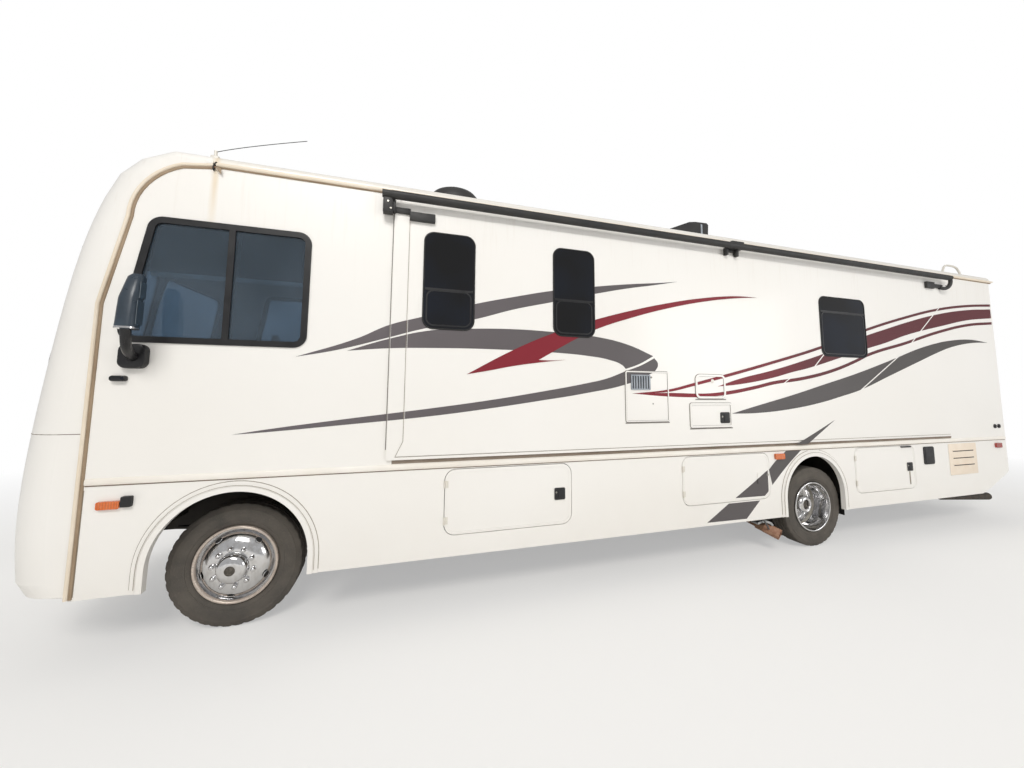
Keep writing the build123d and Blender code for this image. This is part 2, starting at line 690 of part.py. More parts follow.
def tie_rod():
    """Tie rod between the two steering arms, with its ball ends."""
    x, z = st(-TIE_ARM), TIE_Z
    rod = bar((x, -KINGPIN_Y, z), (x, KINGPIN_Y, z), 19)
    for side in (1, -1):
        y = side * KINGPIN_Y
        rod += bar((x, y, z - 26), (x, y, z + 36), 27)
        rod += bar((x, y, z + 36), (x, y, z + 84), 10)
        rod += bar((x, y, z + 72), (x, y, z + 84), 17)
    return rod


def ring(x, y, rows):
    """A solid turned about an axle, from rows of radius and distance outboard of y, on the left."""
    face = make_face(Polyline(*[(out, r) for r, out in rows], close=True))
    turned = revolve(Plane(origin=(0, 0, 0), x_dir=(0, 1, 0), z_dir=(1, 0, 0)) * face, Axis.Y)
    return Pos(x, y, AXLE_Z) * turned


BEAD_HALF = 92.0
BULGE_R = RIM_R + 95.0
TYRE_SIDES = 64


def tyre(x, y):
    """A tyre of narrow flats: bead, widest ring and shoulder on each side, round a bore for the rim."""
    rows = ((RIM_R + 10, -BEAD_HALF), (BULGE_R, -TYRE_HALF), (TYRE_R, -TREAD_HALF))
    rows += ((TYRE_R, TREAD_HALF), (BULGE_R, TYRE_HALF), (RIM_R + 10, BEAD_HALF))
    sections = [Pos(0, out, 0) * Rot(90, 0, 0) * RegularPolygon(r, TYRE_SIDES) for r, out in rows]
    solid = loft(sections, ruled=True)
    bore = RegularPolygon(RIM_R, TYRE_SIDES, major_radius=False)
    solid -= Pos(0, TYRE_HALF, 0) * extrude(Rot(90, 0, 0) * bore, amount=2 * TYRE_HALF)
    return Pos(x, y, AXLE_Z) * solid


def hand_holes(x, y, count, pitch_r, radius):
    """Round tools through a wheel's disc."""
    tools = []
    for step in range(count):
        turn = 2 * math.pi * step / count
        cx, cz = x + pitch_r * math.cos(turn), AXLE_Z + pitch_r * math.sin(turn)
        tools.append(bar((cx, y - 200, cz), (cx, y + 200, cz), radius))
    return tools


# Wheel sections: radius, distance outboard of the rim's middle
FRONT_WHEEL = (
    (RIM_R, -RIM_HALF), (RIM_R, RIM_HALF), (284, RIM_HALF), (258, 62), (205, 150),
    (114, 158), (108, 208), (0, 224), (0, 166), (42, 166), (42, 96), (205, 116), (264, 30),
)
REAR_OUTER_WHEEL = (
    (RIM_R, -RIM_HALF), (RIM_R, RIM_HALF), (284, RIM_HALF), (242, -150),
    (114, -158), (108, 26), (0, 42), (0, -168), (250, -168),
)
REAR_INNER_WHEEL = (
    (RIM_R, -RIM_HALF), (RIM_R, RIM_HALF), (262, 167), (66, 167), (66, 40), (215, 140), (264, -60),
)


def front_wheel():
    """Left front wheel with hub: domed disc, hand holes and a bore for the spindle."""
    x, y = st(0), FRONT_TRACK_HALF
    wheel = ring(x, y, FRONT_WHEEL)
    for tool in hand_holes(x, y + 100, 5, 176, 27):
        wheel -= tool
    return wheel


def rear_wheels():
    """Left pair of rear wheels, bolted face to face, with the hub."""
    x = st(-WHEELBASE)
    pair = ring(x, REAR_OUTER_Y, REAR_OUTER_WHEEL) + ring(x, REAR_INNER_Y, REAR_INNER_WHEEL)
    return pair


def powertrain():
    """Engine and gearbox as plain blocks, and the drive shaft."""
    engine = block(span(900, 80), (-330, 330), (560, 1180))
    gearbox = block(span(80, -720), (-190, 190), (520, 840))
    shaft = bar((st(-720), 0, 600), (st(-WHEELBASE + BOWL_HALF + 8), 0, AXLE_Z + 20), 46)
    return engine + gearbox + shaft


def pipe(points, radius, bend):
    """A pipe along straight runs with rounded corners."""
    path = FilletPolyline(*points, radius=bend)
    start = Plane(origin=path @ 0, z_dir=path % 0)
    return sweep(start * Circle(radius), path)


def exhaust_pipes():
    """Main exhaust with its silencer and turned-out end, and the black pipe under the tail."""
    run = [(st(-330), 250, 430), (st(-5150), 250, 430), (st(-5330), 900, 350), (st(-5500), 1262, 222)]
    main = pipe(run, 44, 150)
    silencer = bar((st(-3300), 250, 430), (st(-4200), 250, 430), 110)
    end = Vector(*run[3])
    way = (end - Vector(*run[2])).normalized()
    tip = extrude(Plane(origin=end - way * 240, z_dir=way) * Circle(58), amount=240)
    hole = extrude(Plane(origin=end - way * 200, z_dir=way) * Circle(52), amount=220)
    main = main + silencer + tip - hole
    low, high = (st(-10050), 1070, 288), (st(-8900), 1070, 372)
    tail = bar(low, high, 54)
    tail -= bar(low, (st(-9800), 1070, 306), 47)
    for x in (-9300, -9750):
        tail += block(span(x + 15, x - 15), (1060, 1080), (350, FRAME_Z[0] + 180))
    return Compound(list(main.solids()) + list(tail.solids()))


RECEIVER_HALF = 31.75
RECEIVER_BORE = 25.5
RECEIVER_Z = 560.0
PIN_R = 8.1


def hitch_receiver():
    """Square receiver tube at the tail, with its pin hole and mounting plate."""
    half, bore = RECEIVER_HALF, RECEIVER_BORE
    z = (RECEIVER_Z - half, RECEIVER_Z + half)
    tube = block(span(-10260, -9950), (-half, half), z)
    tube -= block(span(-10300, -9985), (-bore, bore), (RECEIVER_Z - bore, RECEIVER_Z + bore))
    tube += block(span(-9970, -9950), (-RAIL_OUT, RAIL_OUT), (520, 700))
    pin = bar((st(-10190), -60, RECEIVER_Z), (st(-10190), 60, RECEIVER_Z), PIN_R)
    return tube - pin


# Lamps. Side lamps: front station, rear station, low, high, on both sides
SIDE_LAMPS = ((790, 660, 1020, 1075), (-5455, -5600, 1090, 1155), (-9860, -10000, 1070, 1140))
TAIL_LAMPS = ((980, 1150, 1420, 1600), (980, 1150, 1230, 1400))
ROOF_LAMP_Y = (-900, -180, 0, 180, 900)


def lamps():
    """Head and fog lamps, side lamps, roof lamps and tail lamps."""
    skin = cap_skin(4, 30, CAP_FACE)
    lens = skin & front_plate(across_outline(HEADLAMP_Y, HEADLAMP_Z, 60, -3), st(800), st(1500))
    solids = list(both(lens).solids())
    fog_x = st(1355)
    fog = bar((fog_x - 40, FOGLAMP_Y, FOGLAMP_Z), (fog_x, FOGLAMP_Y, FOGLAMP_Z), 56)
    solids += both(fog).solids()
    for x0, x1, z0, z1 in SIDE_LAMPS:
        lens = side_plate(window((x0, x1), (z0, z1), 12), HALF_WIDTH, HALF_WIDTH + 22)
        solids += both(lens).solids()
    for y0, y1, z0, z1 in TAIL_LAMPS:
        lamp = front_plate(across_outline((y0, y1), (z0, z1), 25), st(REAR_FACE) - 22, st(REAR_FACE))
        solids += both(lamp).solids()
    for y in ROOF_LAMP_Y:
        x = 1040 if abs(y) < 500 else 985
        lamp = block(span(x + 60, x - 30), (y - 45, y + 45), (3560, 3610))
        rear = block(span(REAR_FACE, REAR_FACE - 20), (y - 50, y + 50), (3560, 3595))
        solids += (lamp - cap_body()).solids()
        solids += rear.solids()
    return Compound(solids)


def mirrors():
    """Door mirrors on bent arms, on both sides."""
    base = side_plate(window((740, 575), (2010, 2190), 45), HALF_WIDTH, HALF_WIDTH + 55)
    arm = pipe(
        [(st(655), 1320, 2090), (st(690), 1400, 2130), (st(640), 1500, 2230), (st(620), 1520, 2300)], 26, 30
    )
    head = block((st(555), st(665)), (1430, 1620), (2255, 2665))
    head = fillet(head.edges().filter_by(Axis.Z).sort_by(Axis.X)[2:], 45)
    return both(base + arm + head)


AIR_UNITS = (-2300.0, -7300.0)


def roof_equipment():
    """Two air conditioner shrouds, vents and a domed aerial, standing on the roof."""
    solids = []
    sole = front_plate(roof_section(ROOF_BOTTOM), st(REAR_FACE), st(ROOF_FRONT))
    for x in AIR_UNITS:
        lower = Pos(st(x), 0, 3780) * RectangleRounded(1000, 680, 120)
        upper = Pos(st(x) + 20, 0, 4040) * RectangleRounded(820, 560, 120)
        shroud = loft([lower, upper])
        solids += (shroud - sole).solids()
    for x, y, w, d, top in ((-4420, 800, 420, 420, 3900), (-6350, -500, 420, 420, 3900), (-9300, -450, 420, 420, 3900)):
        lower = Pos(st(x), y, 3740) * RectangleRounded(w, d, 40)
        upper = Pos(st(x) - 60, y, top) * RectangleRounded(w - 180, d - 60, 30)
        solids += (loft([lower, upper]) - sole).solids()
    dome = Pos(st(-1750), 820, 3770) * Cylinder(230, 130)
    dome = fillet(dome.edges().sort_by(Axis.Z)[-1:], 90)
    solids += (dome - sole).solids()
    return Compound(solids)


LADDER_Y = (550.0, 920.0)
LADDER_X = -10265.0


def ladder():
    """Rear ladder: two bent tubes that hook over the roof, and its rungs."""
    whole = None
    for y in LADDER_Y:
        x = st(LADDER_X)
        run = [(x, y, 1150), (x, y, 3895), (st(-9840), y, 3895), (st(-9840), y, 3740)]
        tube = pipe(run, 15, 110)
        whole = tube if whole is None else whole + tube
    for step in range(8):
        z = 1300 + 300 * step
        whole += bar((st(LADDER_X), LADDER_Y[0], z), (st(LADDER_X), LADDER_Y[1], z), 13)
    for z in (1250, 2450, 3500):
        for y in LADDER_Y:
            whole += bar((st(REAR_FACE), y, z), (st(LADDER_X), y, z), 11)
    return whole - front_plate(roof_section(ROOF_BOTTOM), st(REAR_FACE), st(ROOF_FRONT))


def cab_seats():
    """Two high-backed cab seats on pedestals."""
    pedestal = block((st(-420), st(-80)), (400, 740), (DECK_TOP, 1560))
    cushion = block((st(-500), st(20)), (310, 830), (1560, 1700))
    back = block((st(-660), st(-500)), (320, 820), (1560, 2300))
    head = block((st(-650), st(-520)), (430, 710), (2300, 2500))
    arms = block((st(-500), st(-80)), (830, 890), (1560, 1860)) + block((st(-500), st(-80)), (250, 310), (1560, 1860))
    cushion = fillet(cushion.edges().filter_by(Axis.Y), 40)
    return both(pedestal + cushion + back + head + arms)


def dashboard():
    """Dashboard across the cab, engine cover, and steering column with its wheel."""
    profile = Polyline(
        (st(620), 1480), (st(600), 1760), (st(700), 1900), (st(1120), 1930), (st(1160), 1480), close=True
    )
    dash = side_plate(make_face(profile), -1080, 1080)
    cover = block(span(900, 60), (-300, 300), (DECK_TOP, 1480))
    feet = block((st(840), st(900)), (-1080, 1080), (DECK_TOP, 1480))
    hub, foot = Vector(st(360), 570, 1960), Vector(st(700), 570, 1700)
    way = (hub - foot).normalized()
    column = extrude(Plane(origin=foot, z_dir=way) * Circle(38), amount=(hub - foot).length)
    plane = Plane(origin=hub, z_dir=way)
    rim = extrude(plane * (Circle(235) - Circle(205)), amount=26)
    spokes = extrude(plane * (Rectangle(60, 430) + Circle(70)), amount=20)
    return dash + cover + feet + column + rim + spokes


def patio_awning():
    """Rolled patio awning under the roof rail on the door side, with its folded arms."""
    low = HALF_WIDTH + 5
    roller = bar((st(-1810), low + 55, 3560), (st(-7340), low + 55, 3560), 55)
    for x in (-1850, -7300):
        roller += block(span(x + 35, x - 35), (HALF_WIDTH, low + 60), (3500, 3600))
        roller += block(span(x + 25, x - 25), (HALF_WIDTH, low + 45), (1500, 3520))
    return other_side(roller)


frames, panes = side_windows()
PARTS = {
    "chassis_frame": chassis_frame(),
    "outriggers": outriggers(),
    "axles": axles(),
    "powertrain": powertrain(),
    "exhaust_pipes": exhaust_pipes(),
    "underfloor_boxes": underfloor_boxes(),
    "floor_deck": floor_deck(),
    "left_wall": left_wall(),
    "right_wall": right_wall(),
    "side_skirts": Compound(list(left_skirt().solids()) + list(right_skirt().solids())),
    "roof_shell": roof_shell(),
    "front_cap": front_cap(),
    "rear_cap": rear_cap(),
    "windscreen": windscreen(),
    "window_frames": frames,
    "side_windows": panes,
    "trim_mouldings": trim_mouldings(),
    "lamps": lamps(),
    "mirrors": mirrors(),
    "roof_equipment": roof_equipment(),
    "ladder": ladder(),
    "cab_seats": cab_seats(),
    "dashboard": dashboard(),
    "patio_awning": patio_awning(),
    "hitch_receiver": hitch_receiver(),
    "slide_room": slide_room(),
    "slide_windows": slide_windows(),
    "slide_topper": slide_topper(),
    "knuckle_left": knuckle(),
    "knuckle_right": other_side(knuckle()),
    "tie_rod": tie_rod(),
    "entry_door": entry_door(),
}
for name, bay in zip(("front", "middle", "rear"), LEFT_BAYS):
    PARTS[f"bay_door_left_{name}"] = bay_door(bay)
for name, bay in zip(("front", "rear"), RIGHT_BAYS):
    PARTS[f"bay_door_right_{name}"] = other_side(bay_door(bay))
front_tyre = tyre(st(0), FRONT_TRACK_HALF)
rear_x = st(-WHEELBASE)
rear_pair = (tyre(rear_x, REAR_OUTER_Y), tyre(rear_x, REAR_INNER_Y))
rear_tyres = Compound([solid for each in rear_pair for solid in each.solids()])
for side, place in (("left", lambda shape: shape), ("right", other_side)):
    PARTS[f"tyre_front_{side}"] = place(front_tyre)
    PARTS[f"tyres_rear_{side}"] = place(rear_tyres)
    PARTS[f"wheel_front_{side}"] = place(front_wheel())
    PARTS[f"wheels_rear_{side}"] = place(rear_wheels())

for name, shape in PARTS.items():
    export_step(Compound(list(shape.solids())), f"parts/{name}.step")
    print(name, len(shape.solids()), [round(v) for v in shape.bounding_box().size])
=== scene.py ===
# %% [markdown]
# A large motorhome with a long slide-out room, seen from the driver's side. The frame below holds its
# panels, doors and wheels as exact solids. This lesson gives each one its finish and adds the fine
# pieces that a maker would fit last: seals, latches, lamps, wheel liners, tyre tread and cushions.

# %% Kit and frame
import math
import bmesh
import bpy
from mathutils import Matrix, Vector
from mathutils.bvhtree import BVHTree


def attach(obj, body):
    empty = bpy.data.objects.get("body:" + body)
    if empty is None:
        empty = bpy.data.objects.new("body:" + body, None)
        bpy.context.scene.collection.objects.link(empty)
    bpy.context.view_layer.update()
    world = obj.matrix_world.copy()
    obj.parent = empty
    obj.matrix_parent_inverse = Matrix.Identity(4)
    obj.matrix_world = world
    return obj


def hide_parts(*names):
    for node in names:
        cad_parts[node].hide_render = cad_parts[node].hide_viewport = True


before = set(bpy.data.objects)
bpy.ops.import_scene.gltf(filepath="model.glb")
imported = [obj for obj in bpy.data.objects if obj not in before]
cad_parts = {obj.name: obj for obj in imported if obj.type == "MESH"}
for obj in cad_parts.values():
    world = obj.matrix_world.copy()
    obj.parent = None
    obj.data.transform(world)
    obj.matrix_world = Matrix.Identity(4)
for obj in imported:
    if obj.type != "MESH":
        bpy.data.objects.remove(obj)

scene = bpy.context.scene
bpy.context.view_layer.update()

# %% [markdown]
# Lengths are in metres. Stations count from the front axle, forwards, as on the maker's drawings, so
# one number, the front axle's place in the frame, turns a station into an X.

# %% Main sizes
FRONT_AXLE = 4.427
WHEELBASE = 6.147
SIDE = 1.283
SLIDE_FACE = 1.317
SLIDE_FLANGE = 1.307
AXLE_Z = 0.4725


def at(station):
    return FRONT_AXLE + station


# %% [markdown]
# Colours are written as the sRGB values that a colour picker shows. Shaders add up light, so they need
# the linear value, and one function turns one into the other. Every material is a small tree of nodes, so
# one more function adds a node with its settings and links.

# %% Colour and node helpers
def colour(code):
    parts = [int(code[i:i + 2], 16) / 255 for i in (1, 3, 5)]
    linear = [p / 12.92 if p <= 0.04045 else ((p + 0.055) / 1.055) ** 2.4 for p in parts]
    return (*linear, 1.0)


def feed(tree, node, inputs):
    """Sets a node's inputs. Each is a value, an sRGB code, or the socket or node that it is linked from."""
    for key, value in inputs.items():
        if isinstance(value, bpy.types.Node):
            value = next(socket for socket in value.outputs if socket.enabled)
        if isinstance(value, bpy.types.NodeSocket):
            tree.links.new(value, node.inputs[key])
        else:
            node.inputs[key].default_value = colour(value) if isinstance(value, str) else value


def add(tree, kind, inputs=None, **settings):
    """Adds one shader node with its settings and inputs."""
    made = tree.nodes.new("ShaderNode" + kind)
    for key, value in settings.items():
        setattr(made, key, value)
    feed(tree, made, inputs or {})
    return made


def start(name):
    """An empty material with its shader, and the object's own coordinates in metres."""
    material = bpy.data.materials.new(name)
    material.use_nodes = True
    tree = material.node_tree
    shader = tree.nodes["Principled BSDF"]
    place = add(tree, "TexCoord").outputs["Object"]
    return material, tree, shader, place


def blotches(tree, place, size, stretch=(1, 1, 1), detail=4.0, rough=0.55):
    """A soft pattern whose blotches are about size metres wide, stretched on each axis."""
    scaled = add(tree, "Mapping", {"Vector": place, "Scale": [1 / (size * s) for s in stretch]})
    return add(tree, "TexNoise", {"Vector": scaled, "Scale": 1.0, "Detail": detail, "Roughness": rough})


# %% [markdown]
# The body panels are glass fibre with a glossy gel coat, sprayed into the mould before the fibre. It is
# smooth and creamy white, a little duller where the sun has chalked it. Rain carries dirt down from the
# roof joint in thin streaks, and the road throws dust at the skirts. Both masks read the height.

# %% Gel-coated glass fibre
def gel_coat(name, base="#F4F2EE", shade="#EFECE6", streaks=0.10, dust=0.10):
    material, tree, shader, place = start(name)
    along, _, height = add(tree, "SeparateXYZ", {"Vector": place}).outputs
    clouds = blotches(tree, place, 1.4, detail=0.0)
    tone = add(tree, "Mix", {"Factor": clouds, 6: base, 7: shade}, data_type="RGBA")
    runs = add(tree, "MapRange", {"Value": blotches(tree, place, 0.028, (1, 1, 22)), "From Min": 0.56,
                                  "From Max": 0.74})
    below_roof = add(tree, "MapRange", {"Value": height, "From Min": 2.6, "From Max": 3.63})
    runs = add(tree, "Math", {0: runs, 1: below_roof}, operation="MULTIPLY")
    runs = add(tree, "Math", {0: runs, 1: streaks}, operation="MULTIPLY")
    tone = add(tree, "Mix", {"Factor": runs, 6: tone, 7: "#B79F7E"}, data_type="RGBA")
    apart = add(tree, "Math", {0: along, 1: at(0.262)}, operation="SUBTRACT")
    apart = add(tree, "Math", {0: apart}, operation="ABSOLUTE")
    ragged = add(tree, "Math", {0: blotches(tree, place, 0.05, (1, 1, 8)), 1: 0.03}, operation="MULTIPLY")
    ragged = add(tree, "Math", {0: apart, 1: ragged}, operation="ADD")
    near = add(tree, "MapRange", {"Value": ragged, "From Min": 0.052, "From Max": 0.020})
    upper = add(tree, "MapRange", {"Value": height, "From Min": 3.05, "From Max": 3.50, "To Max": 0.55})
    stain = add(tree, "Math", {0: near, 1: upper}, operation="MULTIPLY")
    tone = add(tree, "Mix", {"Factor": stain, 6: tone, 7: "#DCC49A"}, data_type="RGBA")
    low = add(tree, "MapRange", {"Value": height, "From Min": 0.95, "From Max": 0.42})
    specks = blotches(tree, place, 0.30, detail=1.0)
    specks = add(tree, "Math", {0: specks, 1: low}, operation="MULTIPLY")
    specks = add(tree, "Math", {0: specks, 1: dust}, operation="MULTIPLY")
    tone = add(tree, "Mix", {"Factor": specks, 6: tone, 7: "#B8A88E"}, data_type="RGBA")
    feed(tree, shader, {"Base Color": tone})
    gloss = add(tree, "MapRange", {"Value": blotches(tree, place, 0.5, detail=0.0), "To Min": 0.3,
                                   "To Max": 0.38})
    feed(tree, shader, {"Roughness": gloss, "IOR": 1.5, "Coat Weight": 0.2, "Coat Roughness": 0.1})
    ripple = blotches(tree, place, 0.6, detail=0.0)
    feed(tree, shader, {"Normal": add(tree, "Bump", {"Height": ripple, "Distance": 0.003, "Strength": 0.1})})
    return material


body_gel_coat = gel_coat("body_gel_coat")
roof_gel_coat = gel_coat("roof_gel_coat", "#EFECE6", "#E2DDD3", 0.10, 0.0)
print("gel coats made")

# %% [markdown]
# The beads and rails are moulded vinyl in beige. Vinyl is matte and takes up dirt along its edges.

# %% Beige vinyl moulding
def vinyl_moulding():
    material, tree, shader, place = start("beige_vinyl_moulding")
    clouds = add(tree, "MapRange", {"Value": blotches(tree, place, 0.25, (1, 1, 2)), "From Min": 0.35,
                                    "From Max": 0.7})
    tone = add(tree, "Mix", {"Factor": clouds, 6: "#DDCDB4", 7: "#CDB999"}, data_type="RGBA")
    grime = add(tree, "MapRange", {"Value": blotches(tree, place, 0.05, (1, 1, 6)), "From Min": 0.6,
                                   "From Max": 0.8})
    tone = add(tree, "Mix", {"Factor": add(tree, "Math", {0: grime, 1: 0.5}, operation="MULTIPLY"), 6: tone,
                             7: "#8F7B60"}, data_type="RGBA")
    feed(tree, shader, {"Base Color": tone, "Roughness": 0.5, "IOR": 1.5})
    feed(tree, shader, {"Normal": add(tree, "Bump", {"Height": blotches(tree, place, 0.002),
                                                     "Distance": 0.0002, "Strength": 0.4})})
    return material


beige_vinyl = vinyl_moulding()


# %% [markdown]
# Several parts are one plain material each: a moulded plastic, a paint or a cast metal. They differ in
# colour, gloss and grain, so one function makes them, with two tones of colour and a grain in real size.

# %% Plain finishes
def finish(name, light, dark, rough, grain, depth=0.0002, metal=0.0, coat=0.0, patch=0.15, spread=0.5):
    material, tree, shader, place = start(name)
    patches = add(tree, "MapRange", {"Value": blotches(tree, place, patch), "From Min": 0.5 - spread / 2,
                                     "From Max": 0.5 + spread / 2})
    feed(tree, shader, {"Base Color": add(tree, "Mix", {"Factor": patches, 6: light, 7: dark},
                                          data_type="RGBA")})
    duller = add(tree, "MapRange", {"Value": blotches(tree, place, patch / 2), "From Min": 0.3,
                                    "From Max": 0.7, "To Min": rough * 0.8, "To Max": min(1.0, rough * 1.2)})
    feed(tree, shader, {"Roughness": duller, "Metallic": metal, "Coat Weight": coat})
    feed(tree, shader, {"Normal": add(tree, "Bump", {"Height": blotches(tree, place, grain, detail=2.0),
                                                     "Distance": depth, "Strength": 0.4})})
    return material


black_coated_frame = finish("powder_coated_aluminium_black", "#141416", "#1C1C1E", 0.38, 0.002)
grained_abs_black = finish("grained_abs_black", "#1B1B1D", "#262628", 0.5, 0.0025, 0.0004)
glossy_abs_black = finish("glossy_abs_blue_black", "#2B353F", "#35414C", 0.30, 0.004, 0.0001, coat=0.3)
weathered_black = finish("weathered_black_coating", "#222224", "#343331", 0.55, 0.003, 0.0003)
dusty_chassis_black = finish("dusty_chassis_paint", "#1E1D1C", "#4A443B", 0.6, 0.004, 0.0006, patch=0.4)
rusty_iron = finish("rusty_cast_iron", "#3B322B", "#6B4326", 0.75, 0.006, 0.0012, patch=0.08)
rust_inside = finish("red_brown_rust", "#5E3424", "#3A2118", 0.85, 0.003, 0.0008, patch=0.03)
galvanised_box = finish("galvanised_sheet", "#7C7D7E", "#68696A", 0.45, 0.01, 0.0004, 0.6)
deck_board = finish("painted_deck_board", "#4A443C", "#39342E", 0.75, 0.02, 0.0008)
plain_iron = finish("painted_engine_iron", "#35363A", "#2A2624", 0.6, 0.006, 0.001, patch=0.2)
white_tube = finish("white_coated_tube", "#E9E6DF", "#D5CFC2", 0.35, 0.004)
dash_plastic = finish("grained_dash_vinyl", "#3A3835", "#302E2B", 0.6, 0.003, 0.0006)
painted_steel_rim = finish("painted_steel_rim", "#B9B5AC", "#8C857A", 0.45, 0.004, 0.0003, patch=0.05)
# black rubber for seals, lips and flaps, also painted shade inside the wheels' hand holes
black_rubber_and_painted_shade = finish("black_seal_rubber_and_painted_shade", "#131313", "#232322", 0.7, 0.003, 0.0004)
inside_trim = finish("light_inside_lining", "#B9AE9C", "#A89C88", 0.7, 0.004)
print("plain finishes made")


# %% [markdown]
# Wheel liners are pressed stainless steel, polished until they mirror the sky. Brake dust settles in the
# hollows near the rim, so the roughness changes while the metal stays.

# %% Polished stainless steel
def polished_liner():
    material, tree, shader, place = start("polished_stainless_liner")
    smears = add(tree, "MapRange", {"Value": blotches(tree, place, 0.03, (1, 1, 2)), "From Min": 0.45,
                                    "From Max": 0.75})
    tone = add(tree, "Mix", {"Factor": add(tree, "Math", {0: smears, 1: 0.35}, operation="MULTIPLY"),
                             6: "#D9D9DA", 7: "#9C948A"}, data_type="RGBA")
    feed(tree, shader, {"Base Color": tone})
    dull = add(tree, "MapRange", {"Value": blotches(tree, place, 0.02), "From Min": 0.35, "From Max": 0.75,
                                  "To Min": 0.08, "To Max": 0.26})
    feed(tree, shader, {"Roughness": dull, "Metallic": 1.0})
    feed(tree, shader, {"Normal": add(tree, "Bump", {"Height": blotches(tree, place, 0.05, detail=1.0),
                                                     "Distance": 0.0015, "Strength": 0.25})})
    return material


liner_steel = polished_liner()

# %% [markdown]
# Tyre rubber is nearly black when new. Use greys it, and the gravel road leaves a tan dust on the
# sidewall, thickest low down and near the tread.

# %% Tyre rubber
def tyre_rubber():
    material, tree, shader, place = start("dusty_tyre_rubber")
    dusty = blotches(tree, place, 0.16, detail=2.0)
    tone = add(tree, "Mix", {"Factor": add(tree, "Math", {0: dusty, 1: 0.8}, operation="MULTIPLY"),
                             6: "#3B3937", 7: "#6A635A"}, data_type="RGBA")
    fine = add(tree, "MapRange", {"Value": blotches(tree, place, 0.005), "From Min": 0.55, "From Max": 0.75})
    tone = add(tree, "Mix", {"Factor": add(tree, "Math", {0: fine, 1: 0.35}, operation="MULTIPLY"), 6: tone,
                             7: "#857A6B"}, data_type="RGBA")
    feed(tree, shader, {"Base Color": tone, "Roughness": 0.82})
    feed(tree, shader, {"Normal": add(tree, "Bump", {"Height": blotches(tree, place, 0.004),
                                                     "Distance": 0.0006, "Strength": 0.4})})
    return material


rubber = tyre_rubber()

# %% [markdown]
# The slide-out has frameless black privacy glass, with faint blue patches in its colour: painted reflection
# of the sky. The cab glass is tinted but clear enough to see the seats, so it lets some light through; its
# blue-grey tint is partly its own and partly painted reflection of the sky. A thin wavy relief keeps the
# reflections from looking like a perfect mirror.

# %% Glass
def privacy_glass():
    material, tree, shader, place = start("black_privacy_glass")
    # faint blue patches in the near-black colour: painted reflection of the sky
    sky = add(tree, "MapRange", {"Value": blotches(tree, place, 0.5, detail=1.0), "From Min": 0.35,
                                 "From Max": 0.7})
    feed(tree, shader, {"Base Color": add(tree, "Mix", {"Factor": sky, 6: "#020204", 7: "#08111F"},
                                          data_type="RGBA")})
    feed(tree, shader, {"Roughness": 0.03, "IOR": 1.5})
    feed(tree, shader, {"Normal": add(tree, "Bump", {"Height": blotches(tree, place, 0.6, detail=1.0),
                                                     "Distance": 0.004, "Strength": 0.1})})
    return material


def tinted_glass():
    material, tree, shader, place = start("tinted_cab_glass")
    # blue-grey patches: partly the glass's own tint, partly painted reflection of the sky
    sky = add(tree, "MapRange", {"Value": blotches(tree, place, 0.5, detail=1.0), "From Min": 0.35,
                                 "From Max": 0.7})
    feed(tree, shader, {"Base Color": add(tree, "Mix", {"Factor": sky, 6: "#8498AA", 7: "#6F8394"},
                                          data_type="RGBA")})
    feed(tree, shader, {"Roughness": 0.02, "IOR": 1.5, "Transmission Weight": 0.85})
    return material


black_glass = privacy_glass()
cab_glass = tinted_glass()


# %% [markdown]
# Some solids hold like pieces of two colours, as the lamps do: clear in front, amber on the sides, red
# behind. The piece's own coordinates tell them apart, with a mask that is 1 inside a box.

# %% Masks by place
def inside(tree, place, low, high):
    """1 where the place lies between two corners, and 0 elsewhere. None leaves a side open."""
    apart = add(tree, "SeparateXYZ", {"Vector": place}).outputs
    share = None
    for axis, least, most in zip("XYZ", low, high):
        for bound, kind in ((least, "GREATER_THAN"), (most, "LESS_THAN")):
            if bound is None:
                continue
            test = add(tree, "Math", {0: apart[axis], 1: bound}, operation=kind)
            share = test if share is None else add(tree, "Math", {0: share, 1: test}, operation="MULTIPLY")
    return share


# %% [markdown]
# Lamp lenses are acrylic, moulded with fine ribs on the inside, which break the light into small lines. Those
# lines are painted in as darker bands of painted shade, over a relief of the ribs. The surface itself is
# smooth and glossy.

# %% Lamp lenses
def lamp_lenses():
    material, tree, shader, place = start("ribbed_acrylic_lenses")
    tone = add(tree, "Mix", {"Factor": inside(tree, place, (None, None, None), (at(-9.8), None, None)),
                             6: "#D9640A", 7: "#9C161C"}, data_type="RGBA")
    front = inside(tree, place, (at(0.95), None, None), (None, None, 1.3))
    tone = add(tree, "Mix", {"Factor": front, 6: tone, 7: "#C9CED2"}, data_type="RGBA")
    ribs = add(tree, "TexWave", {"Vector": place, "Scale": 1 / 0.05}, bands_direction="X")
    # darker bands along the ribs: painted shade of the light that the ribs break up
    tone = add(tree, "Mix", {"Factor": add(tree, "Math", {0: ribs.outputs["Fac"], 1: 0.3},
                                           operation="MULTIPLY"), 6: tone, 7: "#3A1206"}, data_type="RGBA")
    patches = add(tree, "MapRange", {"Value": blotches(tree, place, 0.02), "From Min": 0.35, "From Max": 0.7,
                                     "To Max": 0.12})
    feed(tree, shader, {"Base Color": add(tree, "Mix", {"Factor": patches, 6: tone, 7: "#FFC79A"},
                                          data_type="RGBA")})
    feed(tree, shader, {"Roughness": 0.14, "IOR": 1.49, "Coat Weight": 0.6})
    feed(tree, shader, {"Normal": add(tree, "Bump", {"Height": ribs.outputs["Fac"], "Distance": 0.0012,
                                                     "Strength": 0.4})})
    return material


lamp_acrylic = lamp_lenses()
print("materials", len(bpy.data.materials))


# %% [markdown]
# The exhaust is one run of rusty steel, and the pipe under the tail is black plastic. The roof carries
# white mouldings, a black fan cover and a dark dome. The same masks give each its own colour.

